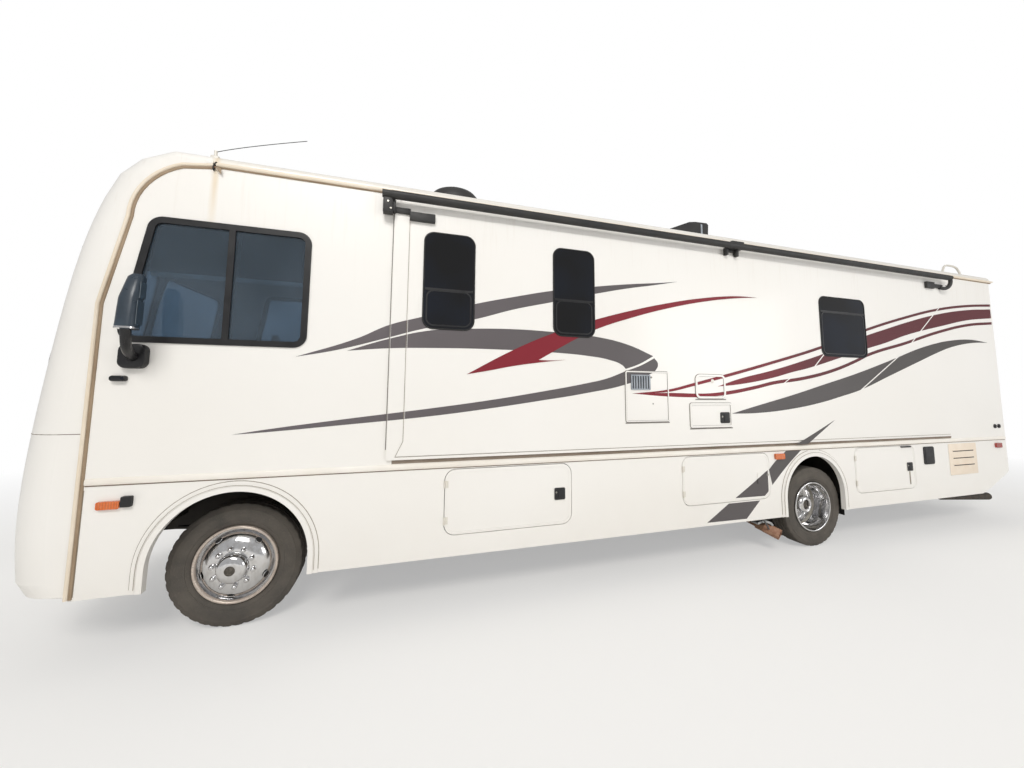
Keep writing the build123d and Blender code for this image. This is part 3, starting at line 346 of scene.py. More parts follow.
# %% Two-colour solids
def two_finishes(name, masks, first, second, rough, grain, depth, patch):
    """Two pairs of tones, the second where any mask says so."""
    material, tree, shader, place = start(name)
    patches = add(tree, "MapRange", {"Value": blotches(tree, place, patch), "From Min": 0.3, "From Max": 0.7})
    share = inside(tree, place, *masks[0])
    for mask in masks[1:]:
        share = add(tree, "Math", {0: share, 1: inside(tree, place, *mask)}, operation="MAXIMUM")
    tones = [add(tree, "Mix", {"Factor": patches, 6: light, 7: dark}, data_type="RGBA")
             for light, dark in (first, second)]
    tone = add(tree, "Mix", {"Factor": share, 6: tones[0], 7: tones[1]}, data_type="RGBA")
    feed(tree, shader, {"Base Color": tone})
    duller = add(tree, "MapRange", {"Value": blotches(tree, place, patch / 2), "From Min": 0.3,
                                    "From Max": 0.7, "To Min": rough * 0.8, "To Max": min(1.0, rough * 1.2)})
    feed(tree, shader, {"Roughness": duller})
    feed(tree, shader, {"Normal": add(tree, "Bump", {"Height": blotches(tree, place, grain, detail=2.0),
                                                     "Distance": depth, "Strength": 0.4})})
    return material


pipes_finish = two_finishes(
    "rust_tan_steel_and_black_pipe", [((None, None, None), (at(-8.6), None, None))],
    ("#8F6F55", "#5A4030"), ("#26221E", "#4A4034"), 0.65, 0.004, 0.0008, 0.06)
roof_mouldings = two_finishes(
    "weathered_roof_mouldings",
    [((at(-4.97), 0.55, 3.70), (at(-4.08), 1.01, None)), ((at(-1.95), 0.51, 3.70), (at(-1.37), 1.09, None))],
    ("#DDD9D0", "#BDB7AA"), ("#1B1B1D", "#2B2A29"), 0.5, 0.006, 0.0006, 0.3)

mirror_shell = two_finishes(
    "blue_black_shell_and_black_arm", [((None, None, None), (None, None, 2.266))],
    ("#2B353F", "#35414C"), ("#101012", "#1A1A1C"), 0.32, 0.004, 0.0001, 0.15)

# %% [markdown]
# A CAD node keeps its shape. Giving it a finish means putting one material in its only slot.

# %% Finishes on the solids
FINISHES = {
    body_gel_coat: ["left_wall", "right_wall", "side_skirts", "front_cap", "rear_cap", "slide_room",
                    "entry_door", "bay_door_left_front", "bay_door_left_middle",
                    "bay_door_left_rear", "bay_door_right_front", "bay_door_right_rear"],
    roof_gel_coat: ["roof_shell"],
    roof_mouldings: ["roof_equipment"],
    beige_vinyl: ["trim_mouldings"],
    black_coated_frame: ["window_frames"],
    cab_glass: ["windscreen", "side_windows"],
    black_glass: ["slide_windows"],
    mirror_shell: ["mirrors"],
    weathered_black: ["slide_topper"],
    dusty_chassis_black: ["chassis_frame", "outriggers", "hitch_receiver", "tie_rod"],
    rusty_iron: ["axles", "knuckle_left", "knuckle_right"],
    pipes_finish: ["exhaust_pipes"],
    plain_iron: ["powertrain"],
    galvanised_box: ["underfloor_boxes"],
    deck_board: ["floor_deck"],
    white_tube: ["ladder", "patio_awning"],
    dash_plastic: ["dashboard"],
    inside_trim: ["cab_seats"],
    rubber: ["tyre_front_left", "tyre_front_right", "tyres_rear_left", "tyres_rear_right"],
    liner_steel: ["wheel_front_left", "wheel_front_right", "wheels_rear_left", "wheels_rear_right"],
    lamp_acrylic: ["lamps"],
}
for material, names in FINISHES.items():
    for name in names:
        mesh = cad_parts[name].data
        mesh.materials.clear()
        mesh.materials.append(material)
print("finished solids", sum(len(names) for names in FINISHES.values()))


# %% [markdown]
# Every added piece is a mesh in its final place, with its object at the origin, and rides on one body.

# %% Making a piece
WELD = 1e-5


def piece(name, shape, material, body="coach", smooth=30):
    """Turns a bmesh into a finished piece. Faces that meet at under smooth degrees shade as one."""
    bmesh.ops.remove_doubles(shape, verts=shape.verts, dist=WELD)
    bmesh.ops.recalc_face_normals(shape, faces=shape.faces)
    mesh = bpy.data.meshes.new(name)
    shape.to_mesh(mesh)
    shape.free()
    mesh.materials.append(material)
    mesh.shade_smooth()
    mesh.set_sharp_from_angle(angle=math.radians(smooth))
    made = bpy.data.objects.new(name, mesh)
    scene.collection.objects.link(made)
    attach(made, body)
    return made


def join(shape, extra):
    """Adds the faces of one bmesh to another."""
    mesh = bpy.data.meshes.new("joined")
    extra.to_mesh(mesh)
    extra.free()
    shape.from_mesh(mesh)
    bpy.data.meshes.remove(mesh)
    return shape


def block(low, high, soft=0.0, steps=2):
    """A box between two corners with its edges rounded by soft."""
    shape = bmesh.new()
    bmesh.ops.create_cube(shape, size=1.0)
    size = [max(b - a, WELD) for a, b in zip(low, high)]
    bmesh.ops.scale(shape, vec=size, verts=shape.verts)
    middle = [(a + b) / 2 for a, b in zip(low, high)]
    bmesh.ops.translate(shape, vec=middle, verts=shape.verts)
    if soft:
        bmesh.ops.bevel(shape, geom=shape.edges[:], offset=soft, segments=steps, profile=0.5,
                        affect="EDGES", material=-1)
    return shape


def panel(x, z, y, corner=0.0, steps=6):
    """A rounded rectangle face in the plane of the side wall at y, between two X and two Z."""
    shape = bmesh.new()
    corners = [(x[0], y, z[0]), (x[1], y, z[0]), (x[1], y, z[1]), (x[0], y, z[1])]
    shape.faces.new([shape.verts.new(c) for c in corners])
    if corner:
        bmesh.ops.bevel(shape, geom=shape.verts[:], offset=corner, segments=steps, profile=0.5,
                        affect="VERTICES", material=-1)
    return shape


def thicken(shape, way):
    """Extrudes the faces along a vector into a closed solid."""
    made = bmesh.ops.extrude_face_region(shape, geom=shape.faces[:])
    moved = [g for g in made["geom"] if isinstance(g, bmesh.types.BMVert)]
    bmesh.ops.translate(shape, vec=way, verts=moved)
    return shape


def slab(x, z, y0, y1, corner=0.0, soft=0.0, steps=6):
    """A rounded plate on a side wall, from y0 to y1, with its outer rim softened."""
    shape = thicken(panel(x, z, y0, corner, steps), (0, y1 - y0, 0))
    if soft:
        rim = [e for e in shape.edges if all(abs(v.co.y - y1) < 1e-6 for v in e.verts)]
        bmesh.ops.bevel(shape, geom=rim, offset=soft, segments=2, profile=0.5, affect="EDGES", material=-1)
    return shape


def shrunk(span, by):
    """A span of X or Z with both its ends drawn in."""
    return span[0] + by, span[1] - by


def ring(x, z, y0, y1, width, corner, steps=6):
    """A rounded frame on a side wall: two outlines, width apart, bridged and made a solid."""
    shape = panel(x, z, y0, corner, steps)
    join(shape, panel(shrunk(x, width), shrunk(z, width), y0, max(corner - width, 0.002), steps))
    bmesh.ops.delete(shape, geom=shape.faces[:], context="FACES_ONLY")
    bmesh.ops.bridge_loops(shape, edges=shape.edges[:])
    return thicken(shape, (0, y1 - y0, 0))


def mirrored(shape):
    """The same shape on the other side of the vehicle."""
    bmesh.ops.scale(shape, vec=(1, -1, 1), verts=shape.verts)
    return shape


def by_side(shape, sign):
    """A shape built on the left, where sign is 1, or its mirror image on the right."""
    return shape if sign > 0 else mirrored(shape)


def on_both(shape):
    """A shape built on the left, and its mirror image with it."""
    return join(shape, mirrored(shape.copy()))


def turned(rows, steps, x, y, z=AXLE_Z, close=False):
    """A shape spun about a wheel's axle. rows are radius and distance outboard of y."""
    shape = bmesh.new()
    verts = [shape.verts.new((x, y + out, z + r)) for r, out in rows]
    edges = [shape.edges.new(pair) for pair in zip(verts, verts[1:])]
    if close:
        edges.append(shape.edges.new((verts[-1], verts[0])))
    bmesh.ops.spin(shape, geom=verts + edges, cent=(x, y, z), axis=(0, 1, 0), angle=2 * math.pi,
                   steps=steps, use_merge=True)
    return shape


def disc(x, z, y, radius, tall, steps=24):
    """A short round boss on the wall, with a softened rim."""
    rows = [(radius, 0.0), (radius, tall * 0.7), (radius * 0.93, tall), (0.0, tall)]
    return turned(rows, steps, x, y, z)


# %% [markdown]
# Each tyre is spun from its section: ribs and grooves across the tread, rounded shoulders, a bulging
# sidewall with two raised rings, and the bead under the rim. Then every few steps the shoulder is
# pressed in, which gives the cross cuts of a road tyre.

# %% Tyre sections
SIPE_STEPS = 144
# radius, distance outboard of the tyre's middle
TREAD_HALF = [
    (0.4645, 0.0), (0.4645, 0.006), (0.4725, 0.008), (0.4725, 0.036), (0.4645, 0.038), (0.4645, 0.048),
    (0.4722, 0.050), (0.4715, 0.084), (0.4680, 0.094), (0.4580, 0.1005), (0.4440, 0.105),
]
SIDEWALL = [
    (0.430, 0.110), (0.4285, 0.1125), (0.4225, 0.113), (0.4205, 0.1125), (0.400, 0.1168), (0.380, 0.117),
    (0.362, 0.115), (0.345, 0.111), (0.3435, 0.1125), (0.3385, 0.112), (0.337, 0.1085), (0.318, 0.101),
    (0.303, 0.093), (0.298, 0.086),
]


def tyre(x, y):
    half = TREAD_HALF + SIDEWALL
    rows = [(r, -out) for r, out in reversed(half[1:])] + half
    shape = turned(rows, SIPE_STEPS, x, y, close=True)
    centre = Vector((x, y, AXLE_Z))
    for vert in shape.verts:
        out = abs(vert.co.y - y)
        arm = vert.co - centre
        radius = math.hypot(arm.x, arm.z)
        step = round(math.atan2(arm.x, arm.z) / (2 * math.pi / SIPE_STEPS))
        if radius > 0.455 and out > 0.049 and step % 4 == 0:
            squeeze = 1 - 0.006 / radius
            vert.co.x = x + arm.x * squeeze
            vert.co.z = AXLE_Z + arm.z * squeeze
    return shape


# %% Tyres on the wheels
FRONT_TRACK = 0.975
REAR_OUTER = 1.095
REAR_INNER = 0.760
SIDES = (("left", 1), ("right", -1))
for side, sign in SIDES:
    made = piece(f"tread_front_{side}", tyre(at(0), sign * FRONT_TRACK), rubber, f"front_{side}_wheel")
    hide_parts(f"tyre_front_{side}")
    pair = join(tyre(at(-WHEELBASE), sign * REAR_OUTER), tyre(at(-WHEELBASE), sign * REAR_INNER))
    made = piece(f"tread_rear_{side}", pair, rubber, f"rear_{side}_wheels")
    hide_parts(f"tyres_rear_{side}")
    print(made.name, len(made.data.polygons), "faces")

# %% [markdown]
# A steel wheel is a rolled rim with a pressed disc. Its polished liner clips on in front: a rounded lip,
# a groove, and a dome that covers the disc. The dome is spun in many steps, because a mirror finish
# shows every flat. Five hand holes are drawn on it as black ovals, painted shade for the dark wheel behind,
# and ten acorn covers stand in a circle.

# %% Wheel sections
WHEEL_STEPS, RIM_STEPS = 96, 64
# radius, distance outboard of the rim's middle
FRONT_LINER = [
    (0.2975, 0.088), (0.2978, 0.102), (0.2962, 0.108), (0.2920, 0.112), (0.2860, 0.113), (0.2800, 0.111),
    (0.2755, 0.104), (0.2735, 0.090), (0.2715, 0.072), (0.2675, 0.064), (0.2610, 0.066), (0.2560, 0.078),
    (0.2490, 0.092), (0.2360, 0.110), (0.2180, 0.127), (0.1980, 0.140), (0.1780, 0.149), (0.1500, 0.157),
    (0.1250, 0.160), (0.1140, 0.161), (0.1110, 0.164), (0.1090, 0.176), (0.1060, 0.192), (0.0980, 0.205),
    (0.0840, 0.214), (0.0640, 0.220), (0.0400, 0.2235), (0.0360, 0.2235), (0.0340, 0.2205), (0.0, 0.2205),
]
FRONT_RIM = [
    (0.2978, -0.110), (0.2978, 0.088), (0.2780, 0.070), (0.2600, 0.060), (0.2480, 0.075), (0.2200, 0.110),
    (0.1700, 0.138), (0.0900, 0.140), (0.0900, 0.100), (0.0430, 0.100), (0.0430, 0.060), (0.1600, 0.075),
    (0.2300, 0.050), (0.2620, 0.020), (0.2640, -0.060), (0.2800, -0.104),
]
REAR_LINER = [
    (0.2975, 0.088), (0.2978, 0.102), (0.2962, 0.108), (0.2920, 0.112), (0.2860, 0.113), (0.2800, 0.110),
    (0.2770, 0.096), (0.2740, 0.060), (0.2680, 0.030), (0.2640, -0.020), (0.2600, -0.080), (0.2520, -0.120),
    (0.2400, -0.138), (0.2240, -0.146), (0.1900, -0.150), (0.1300, -0.152), (0.1180, -0.150),
    (0.1120, -0.140), (0.1090, -0.080), (0.1070, -0.006), (0.1030, 0.012), (0.0940, 0.024), (0.0800, 0.031),
    (0.0660, 0.034), (0.0600, 0.031), (0.0560, 0.022), (0.0530, -0.006), (0.0, -0.008),
]
REAR_RIM = [
    (0.2978, -0.110), (0.2978, 0.088), (0.2760, 0.050), (0.2620, -0.060), (0.2500, -0.140), (0.2400, -0.154),
    (0.1000, -0.158), (0.0, -0.158), (0.0, -0.167), (0.2500, -0.167), (0.2720, -0.104),
]
INNER_RIM = [
    (0.2978, -0.110), (0.2978, 0.110), (0.2840, 0.108), (0.2640, 0.130), (0.2560, 0.167), (0.0670, 0.167),
    (0.0670, 0.130), (0.2200, 0.130), (0.2500, 0.100), (0.2640, 0.020), (0.2660, -0.060), (0.2840, -0.104),
]
STUD_R = 0.1429


def acorn(x, y, z, size, tall):
    """One chromed nut cover: a short cone with a rounded top."""
    rows = [(size, 0.0), (size, tall * 0.45), (size * 0.86, tall * 0.75), (size * 0.5, tall * 0.95),
            (0.0, tall)]
    return turned(rows, 12, x, y, z)


def around(count, radius, x, turn=0.0):
    """Places on a circle about a wheel's axle."""
    for step in range(count):
        angle = turn + 2 * math.pi * step / count
        yield x + radius * math.cos(angle), AXLE_Z + radius * math.sin(angle)


def outboard(shape, y, sign):
    """Turns a wheel built outboard on the left into one at sign * y."""
    bmesh.ops.translate(shape, vec=(0, y, 0), verts=shape.verts)
    return by_side(shape, sign)


def nut_ring(x, y0, size, tall):
    shape = bmesh.new()
    for cx, cz in around(10, STUD_R, x, 0.16):
        join(shape, acorn(cx, y0, cz, size, tall))
    return shape


# %% Hand holes
HOLE_TURN = 0.55
DOME_LEAN = math.radians(48)


def hand_holes(x, rim_only):
    """Five oval hand holes on the dome: their insides as black ovals of painted shade, or the rolled rims
    around them.
    """
    shape = bmesh.new()
    for step in range(5):
        hole = bmesh.new()
        bmesh.ops.create_circle(hole, cap_ends=True, radius=0.029, segments=24)
        bmesh.ops.scale(hole, vec=(1.0, 0.72, 1.0), verts=hole.verts)
        if rim_only:
            bmesh.ops.inset_region(hole, faces=hole.faces[:], thickness=0.0035, use_boundary=True)
            middle = max(hole.faces, key=lambda f: len(f.verts))
            inner = middle.verts[:]
            bmesh.ops.delete(hole, geom=[middle], context="FACES_ONLY")
            bmesh.ops.translate(hole, vec=(0, 0, 0.003), verts=inner)
        lean = Matrix.Rotation(DOME_LEAN - math.pi / 2, 4, "X")
        up = Matrix.Translation((0, 0.1185, 0.2360))
        turn = Matrix.Rotation(HOLE_TURN + 2 * math.pi * step / 5, 4, "Y")
        place = Matrix.Translation((x, 0, AXLE_Z)) @ turn @ up @ lean
        bmesh.ops.transform(hole, matrix=place, verts=hole.verts)
        join(shape, hole)
    return shape


# %% Front wheels
def wheel_piece(name, shape, y, sign, stuff, body, smooth=30):
    return piece(name, outboard(shape, y, sign), stuff, body, smooth)


NUT_SIZE = (0.0185, 0.034)
HUB_CUP = [(0.0365, 0.2238), (0.0345, 0.2246), (0.0325, 0.2238), (0.0310, 0.2212), (0.0180, 0.2216),
           (0.0160, 0.2232), (0.0, 0.2236)]
satin_lip = finish("satin_painted_lip", "#D3C7BC", "#BDAFA3", 0.3, 0.003, 0.0002, 0.4, patch=0.06)
dull_centre = finish("dull_hub_centre", "#77726A", "#3B3733", 0.45, 0.003, 0.0003, 0.7, patch=0.015)
for side, sign in SIDES:
    body = f"front_{side}_wheel"
    place = (FRONT_TRACK, sign)
    made = wheel_piece(f"rim_front_{side}", turned(FRONT_RIM, RIM_STEPS, at(0), 0.0, close=True), *place,
                       painted_steel_rim, body)
    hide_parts(f"wheel_front_{side}")
    lip = turned(FRONT_LINER[:8], WHEEL_STEPS, at(0), 0.0)
    wheel_piece(f"rim_lip_{side}", lip, *place, satin_lip, body, 40)
    liner = turned(FRONT_LINER[7:], WHEEL_STEPS, at(0), 0.0)
    wheel_piece(f"liner_front_{side}", liner, *place, liner_steel, body, 40)
    wheel_piece(f"nut_covers_front_{side}", nut_ring(at(0), 0.156, *NUT_SIZE), *place, liner_steel, body, 50)
    # the black ovals are painted shade inside the hand holes
    for name, rim_only, stuff in (("openings", False, black_rubber_and_painted_shade), ("hole_rims", True, liner_steel)):
        wheel_piece(f"{name}_front_{side}", hand_holes(at(0), rim_only), *place, stuff, body, 60)
    wheel_piece(f"hub_cup_{side}", turned(HUB_CUP, 40, at(0), 0.0), *place, dull_centre, body)
    print("front wheel", side)

# %% Rear wheels
REAR_CUP = [(0.0525, -0.0075), (0.0500, 0.002), (0.0380, 0.006), (0.0340, 0.000), (0.0, 0.001)]
for side, sign in SIDES:
    body = f"rear_{side}_wheels"
    x = at(-WHEELBASE)
    place = (REAR_OUTER, sign)
    rims = outboard(turned(REAR_RIM, RIM_STEPS, x, 0.0, close=True), *place)
    join(rims, outboard(turned(INNER_RIM, RIM_STEPS, x, 0.0, close=True), REAR_INNER, sign))
    made = piece(f"rims_rear_{side}", rims, painted_steel_rim, body)
    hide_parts(f"wheels_rear_{side}")
    wheel_piece(f"liner_rear_{side}", turned(REAR_LINER, WHEEL_STEPS, x, 0.0), *place, liner_steel, body, 40)
    wheel_piece(f"nut_covers_rear_{side}", nut_ring(x, -0.150, *NUT_SIZE), *place, liner_steel, body, 50)
    # dark discs on the rear liner: painted shade inside its hand holes
    openings = bmesh.new()
    for cx, cz in around(5, 0.205, x, 0.9):
        join(openings, disc(cx, cz, -0.1478, 0.030, 0.002))
    wheel_piece(f"openings_rear_{side}", openings, *place, black_rubber_and_painted_shade, body)
    wheel_piece(f"hub_cup_rear_{side}", turned(REAR_CUP, 40, x, 0.0), *place, dull_centre, body)
    print("rear wheels", side)


# %% [markdown]
# The stripes are cut vinyl film, laid over wall, slide-out and doors alike and slit at each joint. Film
# follows a flowing line, so each stripe is a curve with smooth points and sharp tips, filled, made a
# mesh, and then cut with planes where the panels meet. Each outline is given in the wall's plane; on
# the slide-out, which stands further out, it is drawn a little smaller about the viewer's place, so the
# line runs on across the step as it does to the eye.

# %% Striping film
def film(name, light, dark, fade):
    """Vinyl film whose tone darkens along the vehicle, between two stations: painted shade towards the rear.
    """
    material, tree, shader, place = start(name)
    along = add(tree, "SeparateXYZ", {"Vector": place}).outputs["X"]
    # darker towards the rear: painted shade along the wall
    shade = add(tree, "MapRange", {"Value": along, "From Min": at(fade[0]), "From Max": at(fade[1])})
    mottle = add(tree, "Math", {0: blotches(tree, place, 0.4, detail=0.0), 1: 0.2}, operation="MULTIPLY")
    both = add(tree, "Math", {0: shade, 1: mottle}, operation="ADD", use_clamp=True)
    feed(tree, shader, {"Base Color": add(tree, "Mix", {"Factor": both, 6: light, 7: dark},
                                          data_type="RGBA")})
    flake = add(tree, "MapRange", {"Value": blotches(tree, place, 0.004), "From Min": 0.4, "From Max": 0.6,
                                   "To Min": 0.42, "To Max": 0.52})
    feed(tree, shader, {"Roughness": flake, "IOR": 1.45})
    feed(tree, shader, {"Normal": add(tree, "Bump", {"Height": blotches(tree, place, 0.003),
                                                     "Distance": 0.0001, "Strength": 0.4})})
    return material


# the second tone of each film is painted shade towards the rear
grey_film = film("grey_vinyl_film", "#676164", "#4B4846", (-0.4, -9.0))
red_film = film("red_vinyl_film", "#851A29", "#571720", (-4.5, -6.5))

VIEWER = (-1.223, 1.862)
VIEWER_Y = 4.664
FILM = 0.0012
# station and height of each outline's points; a tip is a sharp point
UPPER_GREY = (
    [(-0.385, 2.133, "tip"), (-0.841, 2.305), (-1.097, 2.436), (-1.374, 2.526), (-1.846, 2.677),
     (-2.251, 2.782), (-2.631, 2.872), (-3.118, 2.959), (-3.533, 3.023), (-3.892, 3.069),
     (-4.162, 3.108, "tip"), (-3.82, 3.035), (-3.533, 2.979), (-3.118, 2.882), (-2.631, 2.756),
     (-2.251, 2.659), (-1.846, 2.531), (-1.374, 2.415), (-1.097, 2.326), (-0.687, 2.2)],
)
HOOK_GREY = (
    [(-0.769, 2.197, "tip"), (-1.097, 2.313), (-1.456, 2.408), (-1.79, 2.441), (-2.251, 2.462),
     (-2.662, 2.456), (-3.118, 2.433), (-3.508, 2.364), (-3.815, 2.254, "tip"), (-3.64, 2.165),
     (-3.472, 2.108, "tip"), (-3.431, 2.146), (-3.277, 2.197), (-3.02, 2.231), (-2.662, 2.251),
     (-1.995, 2.259), (-1.482, 2.249), (-1.097, 2.231)],
    [(-3.828, 2.232, "tip"), (-3.872, 2.172), (-3.841, 2.103), (-3.764, 2.056), (-3.482, 1.949),
     (-3.0, 1.851), (-2.497, 1.774), (-1.995, 1.703), (-1.482, 1.641), (-0.749, 1.575), (-0.2, 1.53),
     (0.022, 1.516, "tip"), (-0.2, 1.55), (-0.749, 1.621), (-1.482, 1.71), (-1.995, 1.779),
     (-2.497, 1.859), (-3.0, 1.949), (-3.251, 2.005), (-3.477, 2.087, "tip"), (-3.66, 2.15)],
)
FRONT_RED = (
    [(-1.79, 2.018, "tip"), (-2.226, 2.254), (-2.662, 2.449), (-3.118, 2.608), (-3.508, 2.723),
     (-3.997, 2.846), (-4.497, 2.946), (-4.997, 3.01), (-5.318, 3.018, "tip"), (-4.997, 2.985),
     (-4.497, 2.903), (-3.997, 2.787), (-3.6, 2.672), (-3.118, 2.505), (-2.931, 2.415),
     (-2.495, 2.172, "tip"), (-2.64, 2.172), (-2.785, 2.182, "tip"), (-2.495, 2.146), (-2.251, 2.108),
     (-1.995, 2.056)],
)
TOP_RED = (
    [(-3.541, 1.851, "tip"), (-3.997, 1.897), (-4.344, 1.974), (-4.754, 2.069), (-5.497, 2.249),
     (-6.331, 2.467), (-7.2, 2.74), (-8.0, 2.955), (-8.75, 3.125), (-9.5, 3.238), (-10.125, 3.293, "tip"),
     (-10.125, 3.258, "tip"), (-9.5, 3.203), (-8.75, 3.09), (-8.0, 2.92), (-7.2, 2.705), (-6.331, 2.432),
     (-5.497, 2.214), (-4.754, 2.034), (-4.344, 1.941), (-3.997, 1.872)],
)
THICK_RED = (
    [(-4.664, 1.936, "tip"), (-4.997, 2.031), (-5.497, 2.138), (-5.985, 2.262), (-6.37, 2.369),
     (-7.203, 2.646), (-7.595, 2.754), (-8.0, 2.863), (-8.75, 3.038), (-9.5, 3.158),
     (-10.125, 3.213, "tip"), (-10.125, 3.07, "tip"), (-9.5, 3.0), (-8.9, 2.883), (-8.0, 2.688),
     (-7.595, 2.569), (-7.203, 2.472), (-6.113, 2.185), (-5.805, 2.121), (-5.497, 2.049), (-4.997, 1.967)],
)
LOW_RED = (
    [(-3.541, 1.851, "tip"), (-3.997, 1.86), (-4.497, 1.857), (-4.754, 1.878), (-5.241, 1.955),
     (-5.497, 2.007), (-5.997, 2.071), (-6.497, 2.173), (-6.997, 2.327), (-7.2, 2.403), (-8.0, 2.6),
     (-8.75, 2.795), (-9.5, 2.945), (-10.125, 3.01, "tip"), (-10.125, 2.97, "tip"), (-9.5, 2.905),
     (-8.75, 2.755), (-8.0, 2.56), (-7.2, 2.363), (-6.997, 2.287), (-6.497, 2.133), (-5.997, 2.031),
     (-5.497, 1.967), (-5.241, 1.915), (-4.754, 1.838), (-4.497, 1.818), (-3.997, 1.821)],
)
REAR_GREY = (
    [(-4.849, 1.628, "tip"), (-5.241, 1.718), (-5.779, 1.838), (-6.331, 1.974), (-6.997, 2.14),
     (-7.8, 2.37), (-8.25, 2.505), (-8.75, 2.62), (-9.0, 2.66), (-9.5, 2.70), (-9.96, 2.675, "tip"),
     (-9.5, 2.645), (-9.0, 2.5575), (-8.75, 2.4875), (-8.25, 2.325), (-7.595, 2.108), (-7.0, 1.913),
     (-6.6, 1.82), (-6.331, 1.762), (-5.779, 1.677), (-5.241, 1.633)],
)
SLASH_HIGH = ([(-6.497, 1.531, "tip"), (-6.01, 1.25, "tip"), (-5.818, 1.25, "tip"), (-6.15, 1.385)],)
SLASH_SKIRT = (
    [(-5.89, 1.183, "tip"), (-5.65, 1.183, "tip"), (-5.5, 1.09), (-5.362, 0.977, "tip"),
     (-5.403, 0.80, "tip"), (-5.64, 1.0)],
    [(-5.351, 0.977, "tip"), (-5.1, 0.83), (-4.849, 0.69, "tip"), (-5.279, 0.685, "tip"),
     (-5.351, 0.741, "tip")],
    [(-4.754, 0.638, "tip"), (-5.203, 0.638, "tip"), (-4.997, 0.454, "tip"), (-4.446, 0.459, "tip")],
)
# where thin white lines cross the stripes: two points and the line's width
GAPS = {
    "rear_grey": ((-7.0, 1.90), (-7.82, 2.38), 0.016),
    "thick_red": ((-8.26, 2.69), (-8.71, 3.05), 0.016),
    "thick_red_front": ((-6.14, 2.14), (-6.44, 2.41), 0.016),
    "top_red": ((-8.26, 2.69), (-8.71, 3.05), 0.016),
    "low_red": ((-8.26, 2.69), (-8.71, 3.05), 0.016),
    "low_red_front": ((-5.60, 1.94), (-5.80, 2.06), 0.012),
}


# %% Cutting the film
def from_curve(curve):
    """The mesh that Blender makes of a curve, as a bmesh."""
    holder = bpy.data.objects.new("outline", curve)
    scene.collection.objects.link(holder)
    bpy.context.view_layer.update()
    mesh = bpy.data.meshes.new_from_object(holder.evaluated_get(bpy.context.evaluated_depsgraph_get()))
    shape = bmesh.new()
    shape.from_mesh(mesh)
    bpy.data.objects.remove(holder)
    bpy.data.curves.remove(curve)
    bpy.data.meshes.remove(mesh)
    return shape


def filled(points):
    """A flat filled curve through the points, as a bmesh in the XZ plane."""
    curve = bpy.data.curves.new("outline", "CURVE")
    curve.dimensions = "2D"
    curve.fill_mode = "BOTH"
    curve.resolution_u = 8
    line = curve.splines.new("BEZIER")
    line.bezier_points.add(len(points) - 1)
    line.use_cyclic_u = True
    for knot, (x, z, *tip) in zip(line.bezier_points, points):
        knot.co = (x, z, 0)
        knot.handle_left_type = knot.handle_right_type = "VECTOR" if tip else "AUTO"
    shape = from_curve(curve)
    bmesh.ops.rotate(shape, cent=(0, 0, 0), matrix=Matrix.Rotation(math.pi / 2, 3, "X"), verts=shape.verts)
    return shape


def keep_side(shape, point, normal):
    """Cuts with a plane and keeps what is on the normal's side."""
    bmesh.ops.bisect_plane(shape, geom=shape.verts[:] + shape.edges[:] + shape.faces[:], plane_co=point,
                           plane_no=normal, clear_inner=True)


def keep_inside(shape, front, rear, low, high):
    """Keeps what lies between two X and two Z. The front has the greater X."""
    for point, normal in (((front, 0, 0), (-1, 0, 0)), ((rear, 0, 0), (1, 0, 0)),
                          ((0, 0, low), (0, 0, 1)), ((0, 0, high), (0, 0, -1))):
        keep_side(shape, point, normal)


def slit(shape, start_at, end_at, width):
    """Takes a thin straight line out of the film."""
    a, b = Vector((start_at[0], 0, start_at[1])), Vector((end_at[0], 0, end_at[1]))
    across = Vector((b.z - a.z, 0, a.x - b.x)).normalized()
    other = shape.copy()
    keep_side(shape, a + across * width / 2, across)
    keep_side(other, a - across * width / 2, -across)
    return join(shape, other)


def on_plane(shape, y, lift=0.0):
    """Draws the film on the plane at y, as the viewer sees it in the wall's plane, lifted over other film."""
    share = (VIEWER_Y - y) / (VIEWER_Y - SIDE)
    for vert in shape.verts:
        vert.co.x = at(VIEWER[0] + (vert.co.x - VIEWER[0]) * share)
        vert.co.z = VIEWER[1] + (vert.co.z - VIEWER[1]) * share
        vert.co.y = y + lift
    return thicken(shape, (0, FILM, 0))


def seen_at(x, z, y):
    """A place on the plane at y, carried to the wall's plane along the viewer's line of sight."""
    share = (VIEWER_Y - y) / (VIEWER_Y - SIDE)
    return VIEWER[0] + (x - VIEWER[0]) / share, VIEWER[1] + (z - VIEWER[1]) / share


def grown(shape, width):
    """The same film with a border of width round it."""
    bmesh.ops.dissolve_limit(shape, angle_limit=0.01, verts=shape.verts[:], edges=shape.edges[:])
    bmesh.ops.inset_region(shape, faces=shape.faces[:], thickness=width, use_even_offset=True,
                           use_boundary=True, use_outset=True)
    return shape


# Films in the order they are laid: later ones stand a film's thickness higher
LAYER = {"top_red": 2, "front_red": 2, "front_halo": 1}
# panel: front station, rear station, plane, body
PANELS = {
    "front_wall": (1.0, -1.116, SIDE, "coach"),
    "slide_front_rim": (-1.116, -1.256, SLIDE_FLANGE, "slide_out"),
    "slide": (-1.256, -8.692, SLIDE_FACE, "slide_out"),
    "slide_rear_rim": (-8.698, -8.814, SLIDE_FLANGE, "slide_out"),
    "rear_wall": (-8.820, -10.126, SIDE, "coach"),
}
STRIPES = (
    ("upper_grey", UPPER_GREY, grey_film), ("hook_grey", HOOK_GREY, grey_film),
    ("front_halo", FRONT_RED, body_gel_coat), ("front_red", FRONT_RED, red_film),
    ("top_red", TOP_RED, red_film), ("thick_red", THICK_RED, red_film), ("low_red", LOW_RED, red_film),
    ("rear_grey", REAR_GREY, grey_film), ("slash_grey", SLASH_HIGH, grey_film),
)
HALO = 0.014


def whole_stripe(outlines, trim):
    """All the outlines of one stripe, each filled and trimmed, in one bmesh."""
    whole = bmesh.new()
    for outline in outlines:
        join(whole, trim(filled(outline)))
    return whole


